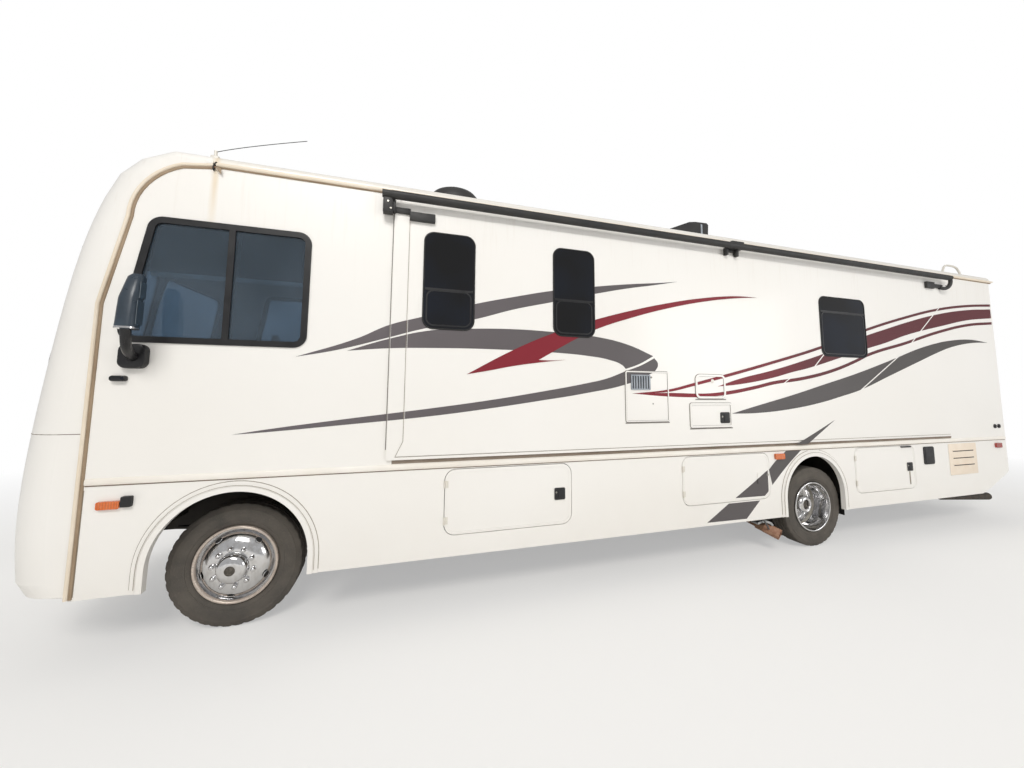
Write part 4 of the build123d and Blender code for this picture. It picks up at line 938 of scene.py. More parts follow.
def slitted(shape, name):
    """Takes out the white lines that cross the stripe of that name."""
    for gap, line in GAPS.items():
        if gap.startswith(name):
            shape = slit(shape, *line)
    return shape


def lay(name, whole, stuff, where, y, body="coach", sign=1):
    """Makes a stripe's share on one panel, if the stripe reaches it."""
    if not whole.faces:
        whole.free()
        return
    film_piece = on_plane(whole, y, LAYER.get(name, 0) * FILM)
    piece(f"film_{name}_{where}", by_side(film_piece, sign), stuff, body, 20)


for name, outlines, stuff in STRIPES:
    for panel_name, (front, rear, y, body) in PANELS.items():
        def trim(part):
            if name.endswith("halo"):
                grown(part, HALO)
            part = slitted(part, name)
            keep_side(part, (seen_at(front, 0, y)[0], 0, 0), (-1, 0, 0))
            keep_side(part, (seen_at(rear, 0, y)[0], 0, 0), (1, 0, 0))
            return part

        lay(name, whole_stripe(outlines, trim), stuff, panel_name, y, body)
# The hatches stand out of the slide-out, and carry their own share of the film. The white border of the
# front red stripe reaches only the slide-out itself.
HATCH_Y = 1.322
# front station, rear station, low, high, corner, frame width
HATCHES = ((-3.438, -3.967, 1.559, 2.085, 0.020, 0.011), (-4.324, -4.736, 1.801, 2.068, 0.058, 0.022),
           (-4.239, -4.814, 1.484, 1.751, 0.024, 0.020))
FILMS = [stripe for stripe in STRIPES if not stripe[0].endswith("halo")]


def part_at(shape, y, front, rear, low, high):
    """Keeps a stripe's share on a plate at y, between two stations and two heights."""
    (front, low), (rear, high) = seen_at(front, low, y), seen_at(rear, high, y)
    keep_inside(shape, front, rear, low, high)
    return shape


for name, outlines, stuff in FILMS:
    whole = bmesh.new()
    for hatch in HATCHES:
        join(whole, whole_stripe(outlines, lambda part: part_at(part, HATCH_Y, *hatch[:4])))
    lay(name, whole, stuff, "hatches", HATCH_Y, "slide_out")
for index, outline in enumerate(SLASH_SKIRT):
    body = "bay_door_left_middle" if index == 1 else "coach"
    piece(f"film_slash_skirt_{index}", on_plane(filled(outline), SIDE), grey_film, body, 20)
# the slash also wraps the middle door's latch plate: front, rear, low, high
PLATE = (-5.180, -5.300, 0.830, 0.950)
PLATE_FACE = 0.0081
plate_y = SIDE + PLATE_FACE
plate_film = filled(SLASH_SKIRT[1])
(front, low), (rear, high) = seen_at(PLATE[0], PLATE[2], plate_y), seen_at(PLATE[1], PLATE[3], plate_y)
keep_inside(plate_film, front + 0.001, rear, low - 0.001, high)
plate_film = on_plane(plate_film, plate_y)
for vert in plate_film.verts:
    if vert.co.y < plate_y + FILM / 2:
        vert.co.y = SIDE + 0.0015
piece("film_slash_plate", plate_film, grey_film, "bay_door_left_middle", 20)


# %% [markdown]
# The door side has no slide-out, so its stripes lie on one flat wall. They are the same outlines
# mirrored, slit at the windows and the entry door.

# %% Stripes on the door side
RIGHT_CUTS = ((-2.05, -2.95, 2.33, 3.06), (-3.45, -4.35, 2.42, 3.06), (-6.15, -6.60, 2.52, 3.06),
              (-7.65, -8.65, 2.38, 3.06), (-0.93, -1.65, 0.60, 2.68))


def cut_window(shape, x0, x1, z0, z1):
    """Takes a rectangle out of the film."""
    parts = []
    for point, normal, limits in (
        ((x0, 0, 0), (1, 0, 0), ()), ((x1, 0, 0), (-1, 0, 0), ()),
        ((0, 0, z1), (0, 0, 1), (x0, x1)), ((0, 0, z0), (0, 0, -1), (x0, x1)),
    ):
        part = shape.copy()
        keep_side(part, point, normal)
        if limits:
            keep_side(part, (limits[0], 0, 0), (-1, 0, 0))
            keep_side(part, (limits[1], 0, 0), (1, 0, 0))
        parts.append(part)
    shape.free()
    whole = bmesh.new()
    for part in parts:
        join(whole, part)
    return whole


for name, outlines, stuff in FILMS:
    whole = whole_stripe(outlines, lambda part: slitted(part, name))
    for cut in RIGHT_CUTS:
        whole = cut_window(whole, *cut)
    lay(name, whole, stuff, "right", SIDE, sign=-1)

# the entry door carries its own share, round its window
DOOR = (-0.945, -1.635, 0.615, 2.665)
DOOR_WINDOW = (-1.030, -1.550, 1.880, 2.580)
for name, outlines, stuff in FILMS:
    whole = whole_stripe(outlines, lambda part: part_at(part, SIDE, *DOOR))
    lay(name, cut_window(whole, *DOOR_WINDOW), stuff, "door", SIDE, "entry_door", -1)
print("stripes on both sides")


# %% [markdown]
# Mouldings are extruded vinyl, cut to length and bent along the joint that they cover. Here a section is
# drawn once and then extruded from point to point of its path, mitred at each bend. The bead over the front
# joint has a cream crown and, behind it, a lower brown lip: painted shade on the bead's shaded side. The roof
# rail's lower edge is brown too, painted shade under its crown. Under the belt runs a thin dark brown strip
# of painted shadow.

# %% Sections drawn along a path
def half_round(low, high, out, steps=7):
    """A closed section from low to high across the path, crowned to out."""
    middle, half = (low + high) / 2, (high - low) / 2
    turns = [math.pi * step / (steps - 1) for step in range(steps)]
    return [(middle + half * math.cos(turn), out * math.sin(turn) ** 0.7) for turn in turns]


def flat(low, high, out):
    return [(low, 0.0), (low, out), (high, out), (high, 0.0)]


def swept(path, section, y):
    """A section drawn along stations and heights on the wall at y. Across counts forwards and up."""
    shape = bmesh.new()
    points = [Vector((at(x), 0, z)) for x, z in path]
    ways = [(b - a).normalized() for a, b in zip(points, points[1:])]
    loop, edges = [], []
    for index, point in enumerate(points):
        before, after = ways[max(index - 1, 0)], ways[min(index, len(ways) - 1)]
        way = (before + after).normalized()
        across = Vector((way.z, 0, -way.x)) / max(way.dot(after), 0.3)
        spots = [point + across * a + Vector((0, y + out, 0)) for a, out in section]
        if not loop:
            loop = [shape.verts.new(spot) for spot in spots]
            edges = [shape.edges.new(pair) for pair in zip(loop, loop[1:] + loop[:1])]
            continue
        made = bmesh.ops.extrude_edge_only(shape, edges=edges)["geom"]
        fresh = {v.co.to_tuple(5): v for v in made if isinstance(v, bmesh.types.BMVert)}
        loop = [fresh[v.co.to_tuple(5)] for v in loop]
        edges = [e for e in made if isinstance(e, bmesh.types.BMEdge) and all(v in loop for v in e.verts)]
        for vert, spot in zip(loop, spots):
            vert.co = spot
    bmesh.ops.holes_fill(shape, edges=shape.edges[:], sides=0)
    return shape


def arc_between(start_at, middle, end_at, steps=10):
    """Points on the circle through three stations and heights."""
    (ax, ay), (bx, by), (cx, cy) = start_at, middle, end_at
    d = 2 * (ax * (by - cy) + bx * (cy - ay) + cx * (ay - by))
    squares = [px * px + py * py for px, py in (start_at, middle, end_at)]
    ux = (squares[0] * (by - cy) + squares[1] * (cy - ay) + squares[2] * (ay - by)) / d
    uy = (squares[0] * (cx - bx) + squares[1] * (ax - cx) + squares[2] * (bx - ax)) / d
    first, last = math.atan2(ay - uy, ax - ux), math.atan2(cy - uy, cx - ux)
    radius = math.hypot(ax - ux, ay - uy)
    last += 2 * math.pi * round((first - last) / (2 * math.pi))
    turns = [first + (last - first) * step / steps for step in range(steps + 1)]
    return [(ux + radius * math.cos(turn), uy + radius * math.sin(turn)) for turn in turns]


# %% Bead, belt and roof rail
BEAD = [(0.897, 0.435), (0.897, 2.48)] + arc_between((0.775, 3.16), (0.706, 3.417), (0.48, 3.61)) + [
    (0.276, 3.640)]
BELT_RUNS = {"left": [(0.87, -10.13)], "right": [(0.87, -0.92), (-1.66, -10.13)]}
BELT_Z, RAIL_Z = 1.209, 3.6525
cream_vinyl = finish("cream_vinyl_moulding", "#EFE4D3", "#E2D3BC", 0.45, 0.003, patch=0.4)
pale_vinyl = finish("pale_vinyl_belt", "#F5F1EA", "#ECE5DA", 0.42, 0.003, patch=0.5)
# brown sealant on the front joint, and painted shadow under the belt
sealant_and_painted_shadow = finish("brown_sealant_and_painted_shadow", "#7E6A55", "#5C4B3B", 0.75, 0.004, 0.0006, patch=0.12)
# brown vinyl: painted shade on the shaded sides of the bead and the roof rail; also the loose vinyl corner
browned_vinyl_and_painted_shade = finish("browned_vinyl_lip_and_painted_shade", "#A8937A", "#8D7860", 0.55, 0.004, 0.0003, patch=0.3)
# painted shadow under the slide-out's flange
painted_flange_shadow = finish("grey_brown_painted_flange_shadow", "#94877A", "#7D6F60", 0.7, 0.004, 0.0004, patch=0.3)
for side, sign in SIDES:
    crown = swept(BEAD, half_round(-0.004, 0.0225, 0.017), SIDE)
    made = piece(f"bead_crown_{side}", by_side(crown, sign), cream_vinyl)
    if sign > 0:
        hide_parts("trim_mouldings")
    # the bead's rear lip: painted shade
    lip = swept(BEAD, half_round(-0.0225, -0.003, 0.009), SIDE)
    piece(f"bead_lip_{side}", by_side(lip, sign), browned_vinyl_and_painted_shade)
    belt, line = bmesh.new(), bmesh.new()
    for run in BELT_RUNS[side]:
        path = [(x, BELT_Z) for x in run]
        join(belt, swept(path, half_round(-0.024, 0.026, 0.014), SIDE))
        # a thin dark strip under the belt: painted shadow
        join(line, swept(path, flat(-0.029, -0.023, 0.004), SIDE))
    piece(f"belt_{side}", by_side(belt, sign), pale_vinyl)
    piece(f"belt_painted_shadow_{side}", by_side(line, sign), sealant_and_painted_shadow)
    path = [(x, RAIL_Z) for x in (0.258, -10.248)]
    rail = swept(path, half_round(-0.012, 0.0225, 0.020), SIDE)
    keep_side(rail, (at(-10.18), 0, 3.630), (0.035, 0, 0.070))
    bmesh.ops.holes_fill(rail, edges=rail.edges[:], sides=0)
    piece(f"roof_rail_{side}", by_side(rail, sign), cream_vinyl)
    # the rail's lower edge: painted shade
    edge = swept([(x, RAIL_Z) for x in (0.258, -10.19)], half_round(-0.0225, -0.010, 0.012), SIDE)
    piece(f"roof_rail_edge_{side}", by_side(edge, sign), browned_vinyl_and_painted_shade)

# %% [markdown]
# Round parts such as seams' sealant beads, wiper arms and an aerial are tubes. A curve with a bevel is
# the plainest way to a tube that follows any path, and it is then made a mesh.

# %% Tubes and the front's surface
def tube(points, radius, smooth=False, sides=2):
    """A round tube through points, as a bmesh."""
    curve = bpy.data.curves.new("tube", "CURVE")
    curve.dimensions = "3D"
    curve.bevel_depth = radius
    curve.bevel_resolution = sides
    curve.use_fill_caps = True
    line = curve.splines.new("NURBS" if smooth else "POLY")
    line.points.add(len(points) - 1)
    for knot, point in zip(line.points, points):
        knot.co = (*point, 1.0)
    if smooth:
        line.order_u = 3
        line.use_endpoint_u = True
    return from_curve(curve)


def surface_of(*names):
    """One search tree over the meshes of some solids."""
    whole = bmesh.new()
    for name in names:
        whole.from_mesh(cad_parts[name].data)
    tree = BVHTree.FromBMesh(whole)
    whole.free()
    return tree


nose = surface_of("front_cap", "windscreen", "lamps")
NOSE_CENTRE = at(0.3)


def on_nose(turn, z, lift=0.0):
    """The point on the moulded front in a direction from its middle, turn degrees to the left."""
    way = Vector((math.cos(math.radians(turn)), math.sin(math.radians(turn)), 0))
    centre = Vector((NOSE_CENTRE, 0, z))
    spot, normal, _, _ = nose.ray_cast(centre + way * 4, -way)
    return spot + normal * lift


def ahead(y, z, lift=0.0):
    """The point on the moulded front straight ahead of a distance out and a height."""
    spot, normal, _, _ = nose.ray_cast(Vector((9.0, y, z)), Vector((-1, 0, 0)))
    return spot + normal * lift


print("nose at belt", [round(v, 3) for v in on_nose(0, 1.2)])

# %% [markdown]
# The moulded front is laid up in two halves, so a fine joint runs round it. The windscreen's two panes sit
# in black rubber, and two long wipers park on it. The head lamps have a chromed reflector bowl and a bezel.

# %% Details of the front
def rounded_ahead(sign, outs, heights, inset, radius, lift):
    """A closed rounded rectangle on the moulded front, between two distances out and two heights."""
    spots = []
    for out, height, first in ((1, 1, 0), (0, 1, 90), (0, 0, 180), (1, 0, 270)):
        cy = outs[out] + (-inset if out else inset)
        cz = heights[height] + (-inset if height else inset)
        for step in range(5):
            turn = math.radians(first + 90 * step / 4)
            spots.append(ahead(sign * (cy + radius * math.cos(turn)), cz + radius * math.sin(turn), lift))
    return spots + spots[:1]


seam = tube([on_nose(turn, 1.543) for turn in range(-64, 65, 2)], 0.0022)
piece("front_joint", seam, sealant_and_painted_shadow)
rubber_line, chrome, bowls = bmesh.new(), bmesh.new(), bmesh.new()
BOWL_R = 0.062
for sign in (1, -1):
    join(rubber_line, tube(rounded_ahead(sign, (0.022, 1.085), (1.985, 3.035), 0.09, 0.09, 0.002), 0.011))
    join(chrome, tube(rounded_ahead(sign, (0.70, 1.05), (0.86, 1.04), 0.06, 0.062, 0.001), 0.006))
    for y in (0.80, 0.95):
        middle = ahead(sign * y, 0.95)
        circle = []
        for turn in range(0, 361, 20):
            out, tall = math.cos(math.radians(turn)), math.sin(math.radians(turn))
            sink = 0.10 * abs(out) * (y - 0.8) * 0.3
            circle.append(middle + Vector((0.004 - sink, sign * BOWL_R * out, BOWL_R * tall)))
        join(bowls, tube(circle, 0.005))
piece("windscreen_rubber", rubber_line, black_rubber_and_painted_shade)
piece("head_lamp_bezels", chrome, liner_steel)
piece("head_lamp_rings", bowls, liner_steel)
# distance out and height along a wiper's blade, and round the grille
BLADE = ((1.0, 2.02), (0.75, 2.045), (0.5, 2.07), (0.3, 2.085), (0.1, 2.10))
GRILLE = ((-0.565, 0.86), (-0.565, 1.06), (-0.50, 1.125), (0.50, 1.125), (0.565, 1.06), (0.565, 0.86),
          (0.50, 0.795), (-0.50, 0.795), (-0.565, 0.86))
wipers = bmesh.new()
for sign in (1, -1):
    foot, elbow = ahead(sign * 0.95, 1.955, 0.02), ahead(sign * 0.55, 2.06, 0.035)
    join(wipers, tube([foot, (foot + elbow) / 2 + Vector((0.02, 0, 0)), elbow], 0.009))
    join(wipers, tube([ahead(sign * y, z, 0.012) for y, z in BLADE], 0.007))
    join(wipers, tube([elbow, ahead(sign * 0.55, 2.065, 0.012)], 0.007))
piece("wipers", wipers, grained_abs_black)
piece("grille_edge", tube([ahead(y, z) for y, z in GRILLE], 0.007), glossy_abs_black)
print("front detailed")

# %% [markdown]
# Rubber seals, sealant, dirt and painted shade draw the fine dark lines that make panels read as panels.
# Each is a thin flat section along a path, on the body that carries it. The broad strip under the
# slide-out's flange and the lines round the wheel arches are painted shadow.

# %% Seams on the walls
# grey for joints and sealant, also painted shade at the wheel flares' edges
joint_grey_and_painted_edge_shade = finish("grey_joint_sealant_and_painted_edge_shade", "#A79D90", "#80776A", 0.6, 0.004, patch=0.2)
# grey for the slide-out's wiper seals and the bumper joint, also painted shadow round the hatches
seal_grey_and_painted_shadow = finish("grey_wiper_seal_and_painted_shadow", "#8E8983", "#6F6A64", 0.6, 0.004, patch=0.4)
# name, plane, body, finish, width, path
SEAMS = (
    ("slide_front_seal", SIDE, "coach", seal_grey_and_painted_shadow, 0.007, [(-1.106, 1.36), (-1.106, 3.556)]),
    ("slide_rear_seal", SIDE, "coach", seal_grey_and_painted_shadow, 0.007, [(-8.824, 1.262), (-8.824, 3.556)]),
    # broad strip under the slide-out's flange: painted shadow
    ("slide_foot_shadow", SIDE, "coach", painted_flange_shadow, 0.034, [(-1.16, 1.256), (-8.82, 1.256)]),
    ("slide_rim_joint", SLIDE_FLANGE, "slide_out", joint_grey_and_painted_edge_shade, 0.004,
     [(-1.246, 3.49), (-1.246, 1.43), (-1.185, 1.30), (-8.76, 1.30), (-8.70, 1.43), (-8.70, 3.49)]),
    ("skirt_front_joint", SIDE, "coach", joint_grey_and_painted_edge_shade, 0.003, [(0.872, 1.155), (0.872, 0.45)]),
)
for name, y, body, stuff, width, path in SEAMS:
    piece(name, swept(path, flat(-width / 2, width / 2, 0.0016), y), stuff, body)
# wheel arches: middle station, half width, top
ARCHES = ((-0.032, 0.522, 1.090), (-6.090, 0.480, 1.100))
ARCH_FOOT, BELT_FOOT = 0.455, 1.172
# lines round the wheel arches: painted shade at the flares' edges
edges = bmesh.new()
for middle, half, top in ARCHES:
    for grow, width in ((0.077, 0.006), (0.047, 0.003)):
        radius, centre_z = half + grow, top - half
        arch = [(middle + radius, ARCH_FOOT), (middle + radius, centre_z)]
        for step in range(1, 32):
            turn = math.pi * step / 32
            if centre_z + radius * math.sin(turn) < BELT_FOOT:
                arch.append((middle + radius * math.cos(turn), centre_z + radius * math.sin(turn)))
        arch += [(middle - radius, centre_z), (middle - radius, ARCH_FOOT)]
        lift = 0.0 if grow > 0.07 else 0.0145
        join(edges, swept(arch, flat(-width / 2, width / 2, 0.0016), SIDE + lift))
on_both(edges)
piece("flare_edges", edges, joint_grey_and_painted_edge_shade)
print("seams", len(SEAMS))

# %% [markdown]
# A luggage door is a flat panel with a second skin on its face, so a fine step runs round inside its edge.
# It closes with a flush paddle latch: a black plate, a paddle that is pulled, and a key cylinder.

# %% Luggage doors
key_steel = finish("worn_key_steel", "#B4B2AC", "#85827A", 0.3, 0.002, 0.0001, 0.9)
# body, front and rear station, low, high, side, latch
BAYS = (
    ("bay_door_left_front", -1.61, -2.84, 0.60, 1.172, 1, "black"),
    ("bay_door_left_middle", -4.14, -5.37, 0.65, 1.172, 1, "key"),
    ("bay_door_left_rear", -6.80, -7.98, 0.60, 1.172, 1, "black"),
    ("bay_door_right_front", -3.90, -5.37, 0.62, 1.172, -1, "black"),
    ("bay_door_right_rear", -6.80, -7.98, 0.60, 1.172, -1, "black"),
)
for body, front, rear, low, high, sign, latch in BAYS:
    step = ring(shrunk((at(rear), at(front)), 0.020), shrunk((low, high), 0.020), SIDE, SIDE + 0.003,
                0.010, 0.086)
    piece(f"rim_{body}", by_side(step, sign), body_gel_coat, body)
    x0 = at(rear) + 0.070
    if latch == "black":
        plate = slab((x0 + 0.004, x0 + 0.116), (0.834, 0.946), SIDE + PLATE_FACE, SIDE + 0.0135, 0.014, 0.002)
        join(plate, slab((x0 + 0.016, x0 + 0.078), (0.850, 0.930), SIDE + 0.0136, SIDE + 0.019, 0.010, 0.003))
        piece(f"latch_{body}", by_side(plate, sign), grained_abs_black, body)
        key = disc(x0 + 0.097, 0.905, SIDE + 0.013, 0.009, 0.004)
    else:
        key = disc(at(-5.335), 0.920, SIDE, 0.015, 0.006)
    piece(f"key_{body}", by_side(key, sign), key_steel, body)
strap = slab((at(-7.862), at(-7.842)), (0.655, 0.828), SIDE, SIDE + 0.003, 0.004)
piece("latch_strap", strap, joint_grey_and_painted_edge_shade, "bay_door_left_rear")
grip = slab((at(-7.90), at(-7.70)), (1.146, 1.162), SIDE, SIDE + 0.016, 0.006, 0.003)
piece("pull_bar", grip, grained_abs_black, "bay_door_left_rear")
print("luggage doors", len(BAYS))

# %% [markdown]
# The entry door is on the other side. It has a dark window in a black frame, a paddle latch with its key, and
# its own length of belt moulding.

# %% Entry door
door_x = (at(DOOR[1]), at(DOOR[0]))
window_x = (at(DOOR_WINDOW[1]), at(DOOR_WINDOW[0]))
rim = ring(shrunk(door_x, 0.004), (DOOR[2] + 0.006, DOOR[3] - 0.006), SIDE, SIDE + 0.003, 0.011, 0.058)
piece("rim_entry_door", mirrored(rim), body_gel_coat, "entry_door")
pane = slab(shrunk(window_x, 0.018), shrunk(DOOR_WINDOW[2:], 0.018), SIDE - 0.0055, SIDE - 0.0045, 0.078)
piece("door_glass", mirrored(pane), black_glass, "entry_door")
frame_ring = ring(window_x, DOOR_WINDOW[2:], SIDE - 0.004, SIDE + 0.007, 0.026, 0.096)
piece("door_window_frame", mirrored(frame_ring), black_coated_frame, "entry_door")
paddle = slab((at(-1.617), at(-1.543)), (1.503, 1.647), SIDE + 0.0121, SIDE + 0.018, 0.014, 0.003)
join(paddle, slab((at(-1.600), at(-1.560)), (1.520, 1.610), SIDE + 0.0181, SIDE + 0.026, 0.010, 0.004))
piece("door_paddle", mirrored(paddle), grained_abs_black, "entry_door")
key = disc(at(-1.580), 1.630, SIDE + 0.018, 0.009, 0.003)
piece("door_key", mirrored(key), key_steel, "entry_door")
door_belt = swept([(-0.956, BELT_Z), (-1.624, BELT_Z)], half_round(-0.024, 0.026, 0.0155), SIDE)
piece("door_belt", mirrored(door_belt), pale_vinyl, "entry_door")
print("entry door")

# %% [markdown]
# Three service hatches open in the slide-out: a water heater with a louvred flue, a rounded refill door and
# a locker. Each has a thin raised frame and its own small latch, with grey lines of painted shadow round it.
# The dark inside of the flue is painted shade.

# %% Hatches on the slide-out
louvre_grey = finish("blue_grey_flue_paint", "#A9B0B8", "#858C93", 0.45, 0.003, patch=0.08)
# dark grey for the insides of recesses: painted shade
painted_recess_shade = finish("painted_recess_shade", "#2E2C2A", "#1D1C1B", 0.8, 0.004, patch=0.1)
for index, (front, rear, low, high, corner, width) in enumerate(HATCHES):
    x, z = (at(rear), at(front)), (low, high)
    rim = ring(shrunk(x, 0.001), shrunk(z, 0.001), HATCH_Y, HATCH_Y + 0.0062, width, corner)
    piece(f"hatch_frame_{index}", rim, body_gel_coat, "slide_out")
    # grey lines round each hatch and a strip under it: painted shadow
    line = ring(shrunk(x, -0.005), shrunk(z, -0.005), SLIDE_FACE, SLIDE_FACE + 0.004, 0.006, corner + 0.005)
    join(line, ring(shrunk(x, width), shrunk(z, width), HATCH_Y, HATCH_Y + 0.0042, 0.003,
                    max(corner - width, 0.004)))
    join(line, slab(shrunk(x, -0.004), (low - 0.016, low - 0.006), SLIDE_FACE, SLIDE_FACE + 0.004))
    piece(f"hatch_shadow_{index}", line, seal_grey_and_painted_shadow, "slide_out")
LOUVRE_X, LOUVRE_Z, SLOTS = (at(-3.736), at(-3.503)), (1.890, 2.048), 7
pitch = (LOUVRE_X[1] - LOUVRE_X[0]) / (SLOTS + 0.5)
# dark inside behind the flue's bars: painted shade
inside_flue = slab(shrunk(LOUVRE_X, 0.004), shrunk(LOUVRE_Z, 0.004), HATCH_Y + 0.0026, HATCH_Y + 0.0032)
piece("flue_inside", inside_flue, painted_recess_shade, "slide_out")
bars = ring(LOUVRE_X, LOUVRE_Z, HATCH_Y, HATCH_Y + 0.010, 0.013, 0.008)
for slot in range(SLOTS + 1):
    edge = LOUVRE_X[1] - pitch * slot
    join(bars, slab((edge - pitch * 0.55, edge), shrunk(LOUVRE_Z, 0.006), HATCH_Y + 0.003, HATCH_Y + 0.009,
                    0.004, 0.002))
piece("flue_louvre", bars, louvre_grey, "slide_out")
marks = disc(at(-3.752), 2.022, HATCH_Y, 0.011, 0.004)
join(marks, disc(at(-3.768), 1.745, HATCH_Y, 0.008, 0.003))
piece("heater_fasteners", marks, key_steel, "slide_out")
piece("refill_latch", disc(at(-4.555), 1.995, HATCH_Y, 0.022, 0.006), white_tube, "slide_out")
plate = slab((at(-4.777), at(-4.645)), (1.527, 1.649), HATCH_Y, HATCH_Y + 0.007, 0.016, 0.003)
join(plate, slab((at(-4.760), at(-4.690)), (1.543, 1.633), HATCH_Y + 0.007, HATCH_Y + 0.012, 0.010, 0.003))
piece("locker_latch", plate, grained_abs_black, "slide_out")
key = disc(at(-4.668), 1.600, HATCH_Y + 0.006, 0.011, 0.004)
piece("locker_key", key, key_steel, "slide_out")
print("hatches", len(HATCHES))

# %% [markdown]
# The slide-out's windows are black glass glued over their frames. The lower half of two of them slides, and
# its frame shows as a bar and a faint inner edge. A rubber lip runs round each.

# %% Slide-out windows
SLIDE_WINDOWS = ((-1.374, -1.849, 2.414, 3.315, 2.780), (-2.634, -3.098, 2.409, 3.315, 2.780),
                 (-6.298, -7.140, 2.335, 3.117, 2.918))
PANE_Y = 1.3208
lips, bars = bmesh.new(), bmesh.new()
for front, rear, low, high, split in SLIDE_WINDOWS:
    x = (at(rear), at(front))
    join(lips, ring(shrunk(x, 0.001), shrunk((low, high), 0.001), PANE_Y, 1.3245, 0.011, 0.094))
    join(bars, slab(shrunk(x, 0.020), (split - 0.011, split + 0.011), PANE_Y, 1.3238))
    join(bars, ring(shrunk(x, 0.030), (low + 0.030, split - 0.004), PANE_Y, 1.3226, 0.014, 0.07))
piece("slide_window_lips", lips, black_rubber_and_painted_shade, "slide_out")
piece("slide_window_bars", bars, black_coated_frame, "slide_out")
print("slide-out windows")

# %% [markdown]
# Each mirror is a tall moulded shell on a bent arm. The shell narrows towards its top, and its front is
# rounded. Three rounded outlines, extruded one from the next, give it that shape. The glass faces back, and
# a bright strip runs round the foot of the shell.

# %% Mirrors
# height, station and distance out of the outline's middle, depth, width, corner radius
MIRROR_HEAD = ((2.275, 0.582, 1.536, 0.116, 0.108, 0.040), (2.480, 0.584, 1.520, 0.116, 0.104, 0.040),
               (2.640, 0.578, 1.487, 0.094, 0.080, 0.034), (2.663, 0.576, 1.480, 0.062, 0.056, 0.024))


def level_outline(height, station, out, depth, width, corner, steps=5):
    """A rounded rectangle seen from above, as a loop of points."""
    spots = []
    for sx, sy, first in ((1, 1, 0), (-1, 1, 90), (-1, -1, 180), (1, -1, 270)):
        for step in range(steps + 1):
            turn = math.radians(first + 90 * step / steps)
            spots.append(Vector((at(station) + sx * (depth / 2 - corner) + corner * math.cos(turn),
                                 out + sy * (width / 2 - corner) + corner * math.sin(turn), height)))
    return spots


def lofted(rows):
    """A closed shell through level outlines with the same number of points."""
    shape = bmesh.new()
    loops = []
    for row in rows:
        verts = [shape.verts.new(spot) for spot in level_outline(*row)]
        loops.append([shape.edges.new(pair) for pair in zip(verts, verts[1:] + verts[:1])])
    for lower, upper in zip(loops, loops[1:]):
        bmesh.ops.bridge_loops(shape, edges=lower + upper)
    bmesh.ops.holes_fill(shape, edges=loops[0] + loops[-1], sides=0)
    return shape


mirror_glass = finish("silvered_mirror_glass", "#B9C2C8", "#A7B0B6", 0.04, 0.01, 0.0, 1.0)
ARM = [(at(0.650), 1.320, 2.085), (at(0.628), 1.430, 2.120), (at(0.596), 1.515, 2.200),
       (at(0.590), 1.534, 2.290)]
for side, sign in SIDES:
    head = lofted(MIRROR_HEAD)
    join(head, tube(ARM, 0.030, True, 4))
    join(head, slab((at(0.575), at(0.740)), (2.010, 2.190), SIDE, SIDE + 0.055, 0.05, 0.014))
    join(head, slab((at(0.690), at(0.785)), (1.916, 1.958), SIDE, SIDE + 0.036, 0.018, 0.010))
    made = piece(f"mirror_{side}", by_side(head, sign), mirror_shell)
    if sign > 0:
        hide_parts("mirrors")
    middle = MIRROR_HEAD[0][1:3]
    foot = lofted([(2.268, *middle, 0.118, 0.110, 0.040), (2.281, *middle, 0.119, 0.111, 0.040)])
    piece(f"mirror_foot_{side}", by_side(foot, sign), liner_steel)
    glass = block((at(0.5220), 1.492, 2.30), (at(0.5245), 1.562, 2.465))
    join(glass, block((at(0.5250), 1.478, 2.485), (at(0.5275), 1.540, 2.600)))
    piece(f"mirror_glass_{side}", by_side(glass, sign), mirror_glass)
    eye = disc(at(0.705), 1.938, SIDE + 0.0355, 0.011, 0.003)
    piece(f"camera_eye_{side}", by_side(eye, sign), black_glass)

# %% [markdown]
# The ladder is bent from one tube a side, with a hand hoop over the roof edge, and rungs between. Plastic
# feet hold it off the rear wall.

# %% Ladder
LADDER_Y = (0.57, 0.945)
LADDER_X = -10.265
# station and height along each side tube, from its foot over the hand hoop
LADDER_RUN = ((LADDER_X, 1.15), (LADDER_X, 1.50), (LADDER_X, 3.70), (LADDER_X, 3.86), (-10.245, 3.935),
              (-10.17, 4.005), (-10.08, 4.022), (-9.93, 4.024), (-9.85, 4.008), (-9.80, 3.945),
              (-9.745, 3.80), (-9.735, 3.77))
frame_tubes, feet = bmesh.new(), bmesh.new()
for y in LADDER_Y:
    join(frame_tubes, tube([(at(x), y, z) for x, z in LADDER_RUN], 0.015, True, 4))
    for z in (1.25, 2.45, 3.50):
        join(feet, block((at(-10.262), y - 0.020, z - 0.022), (at(-10.180), y + 0.020, z + 0.022), 0.006))
    join(feet, block((at(-9.775), y - 0.030, 3.748), (at(-9.695), y + 0.030, 3.776), 0.006))
for step in range(8):
    z = 1.30 + 0.30 * step
    join(frame_tubes, tube([(at(LADDER_X), y, z) for y in LADDER_Y], 0.013, sides=3))
made = piece("ladder_tubes", frame_tubes, white_tube)
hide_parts("ladder")
piece("ladder_feet", feet, grained_abs_black)
print("ladder top", round(max(v.co.z for v in made.data.vertices), 3))

# %% [markdown]
# On the roof stand a black fan cover that opens like a wedge and a dark satellite dome, over the plain
# solids there. The two air conditioners have louvres in their rear faces, and the vents have lids.

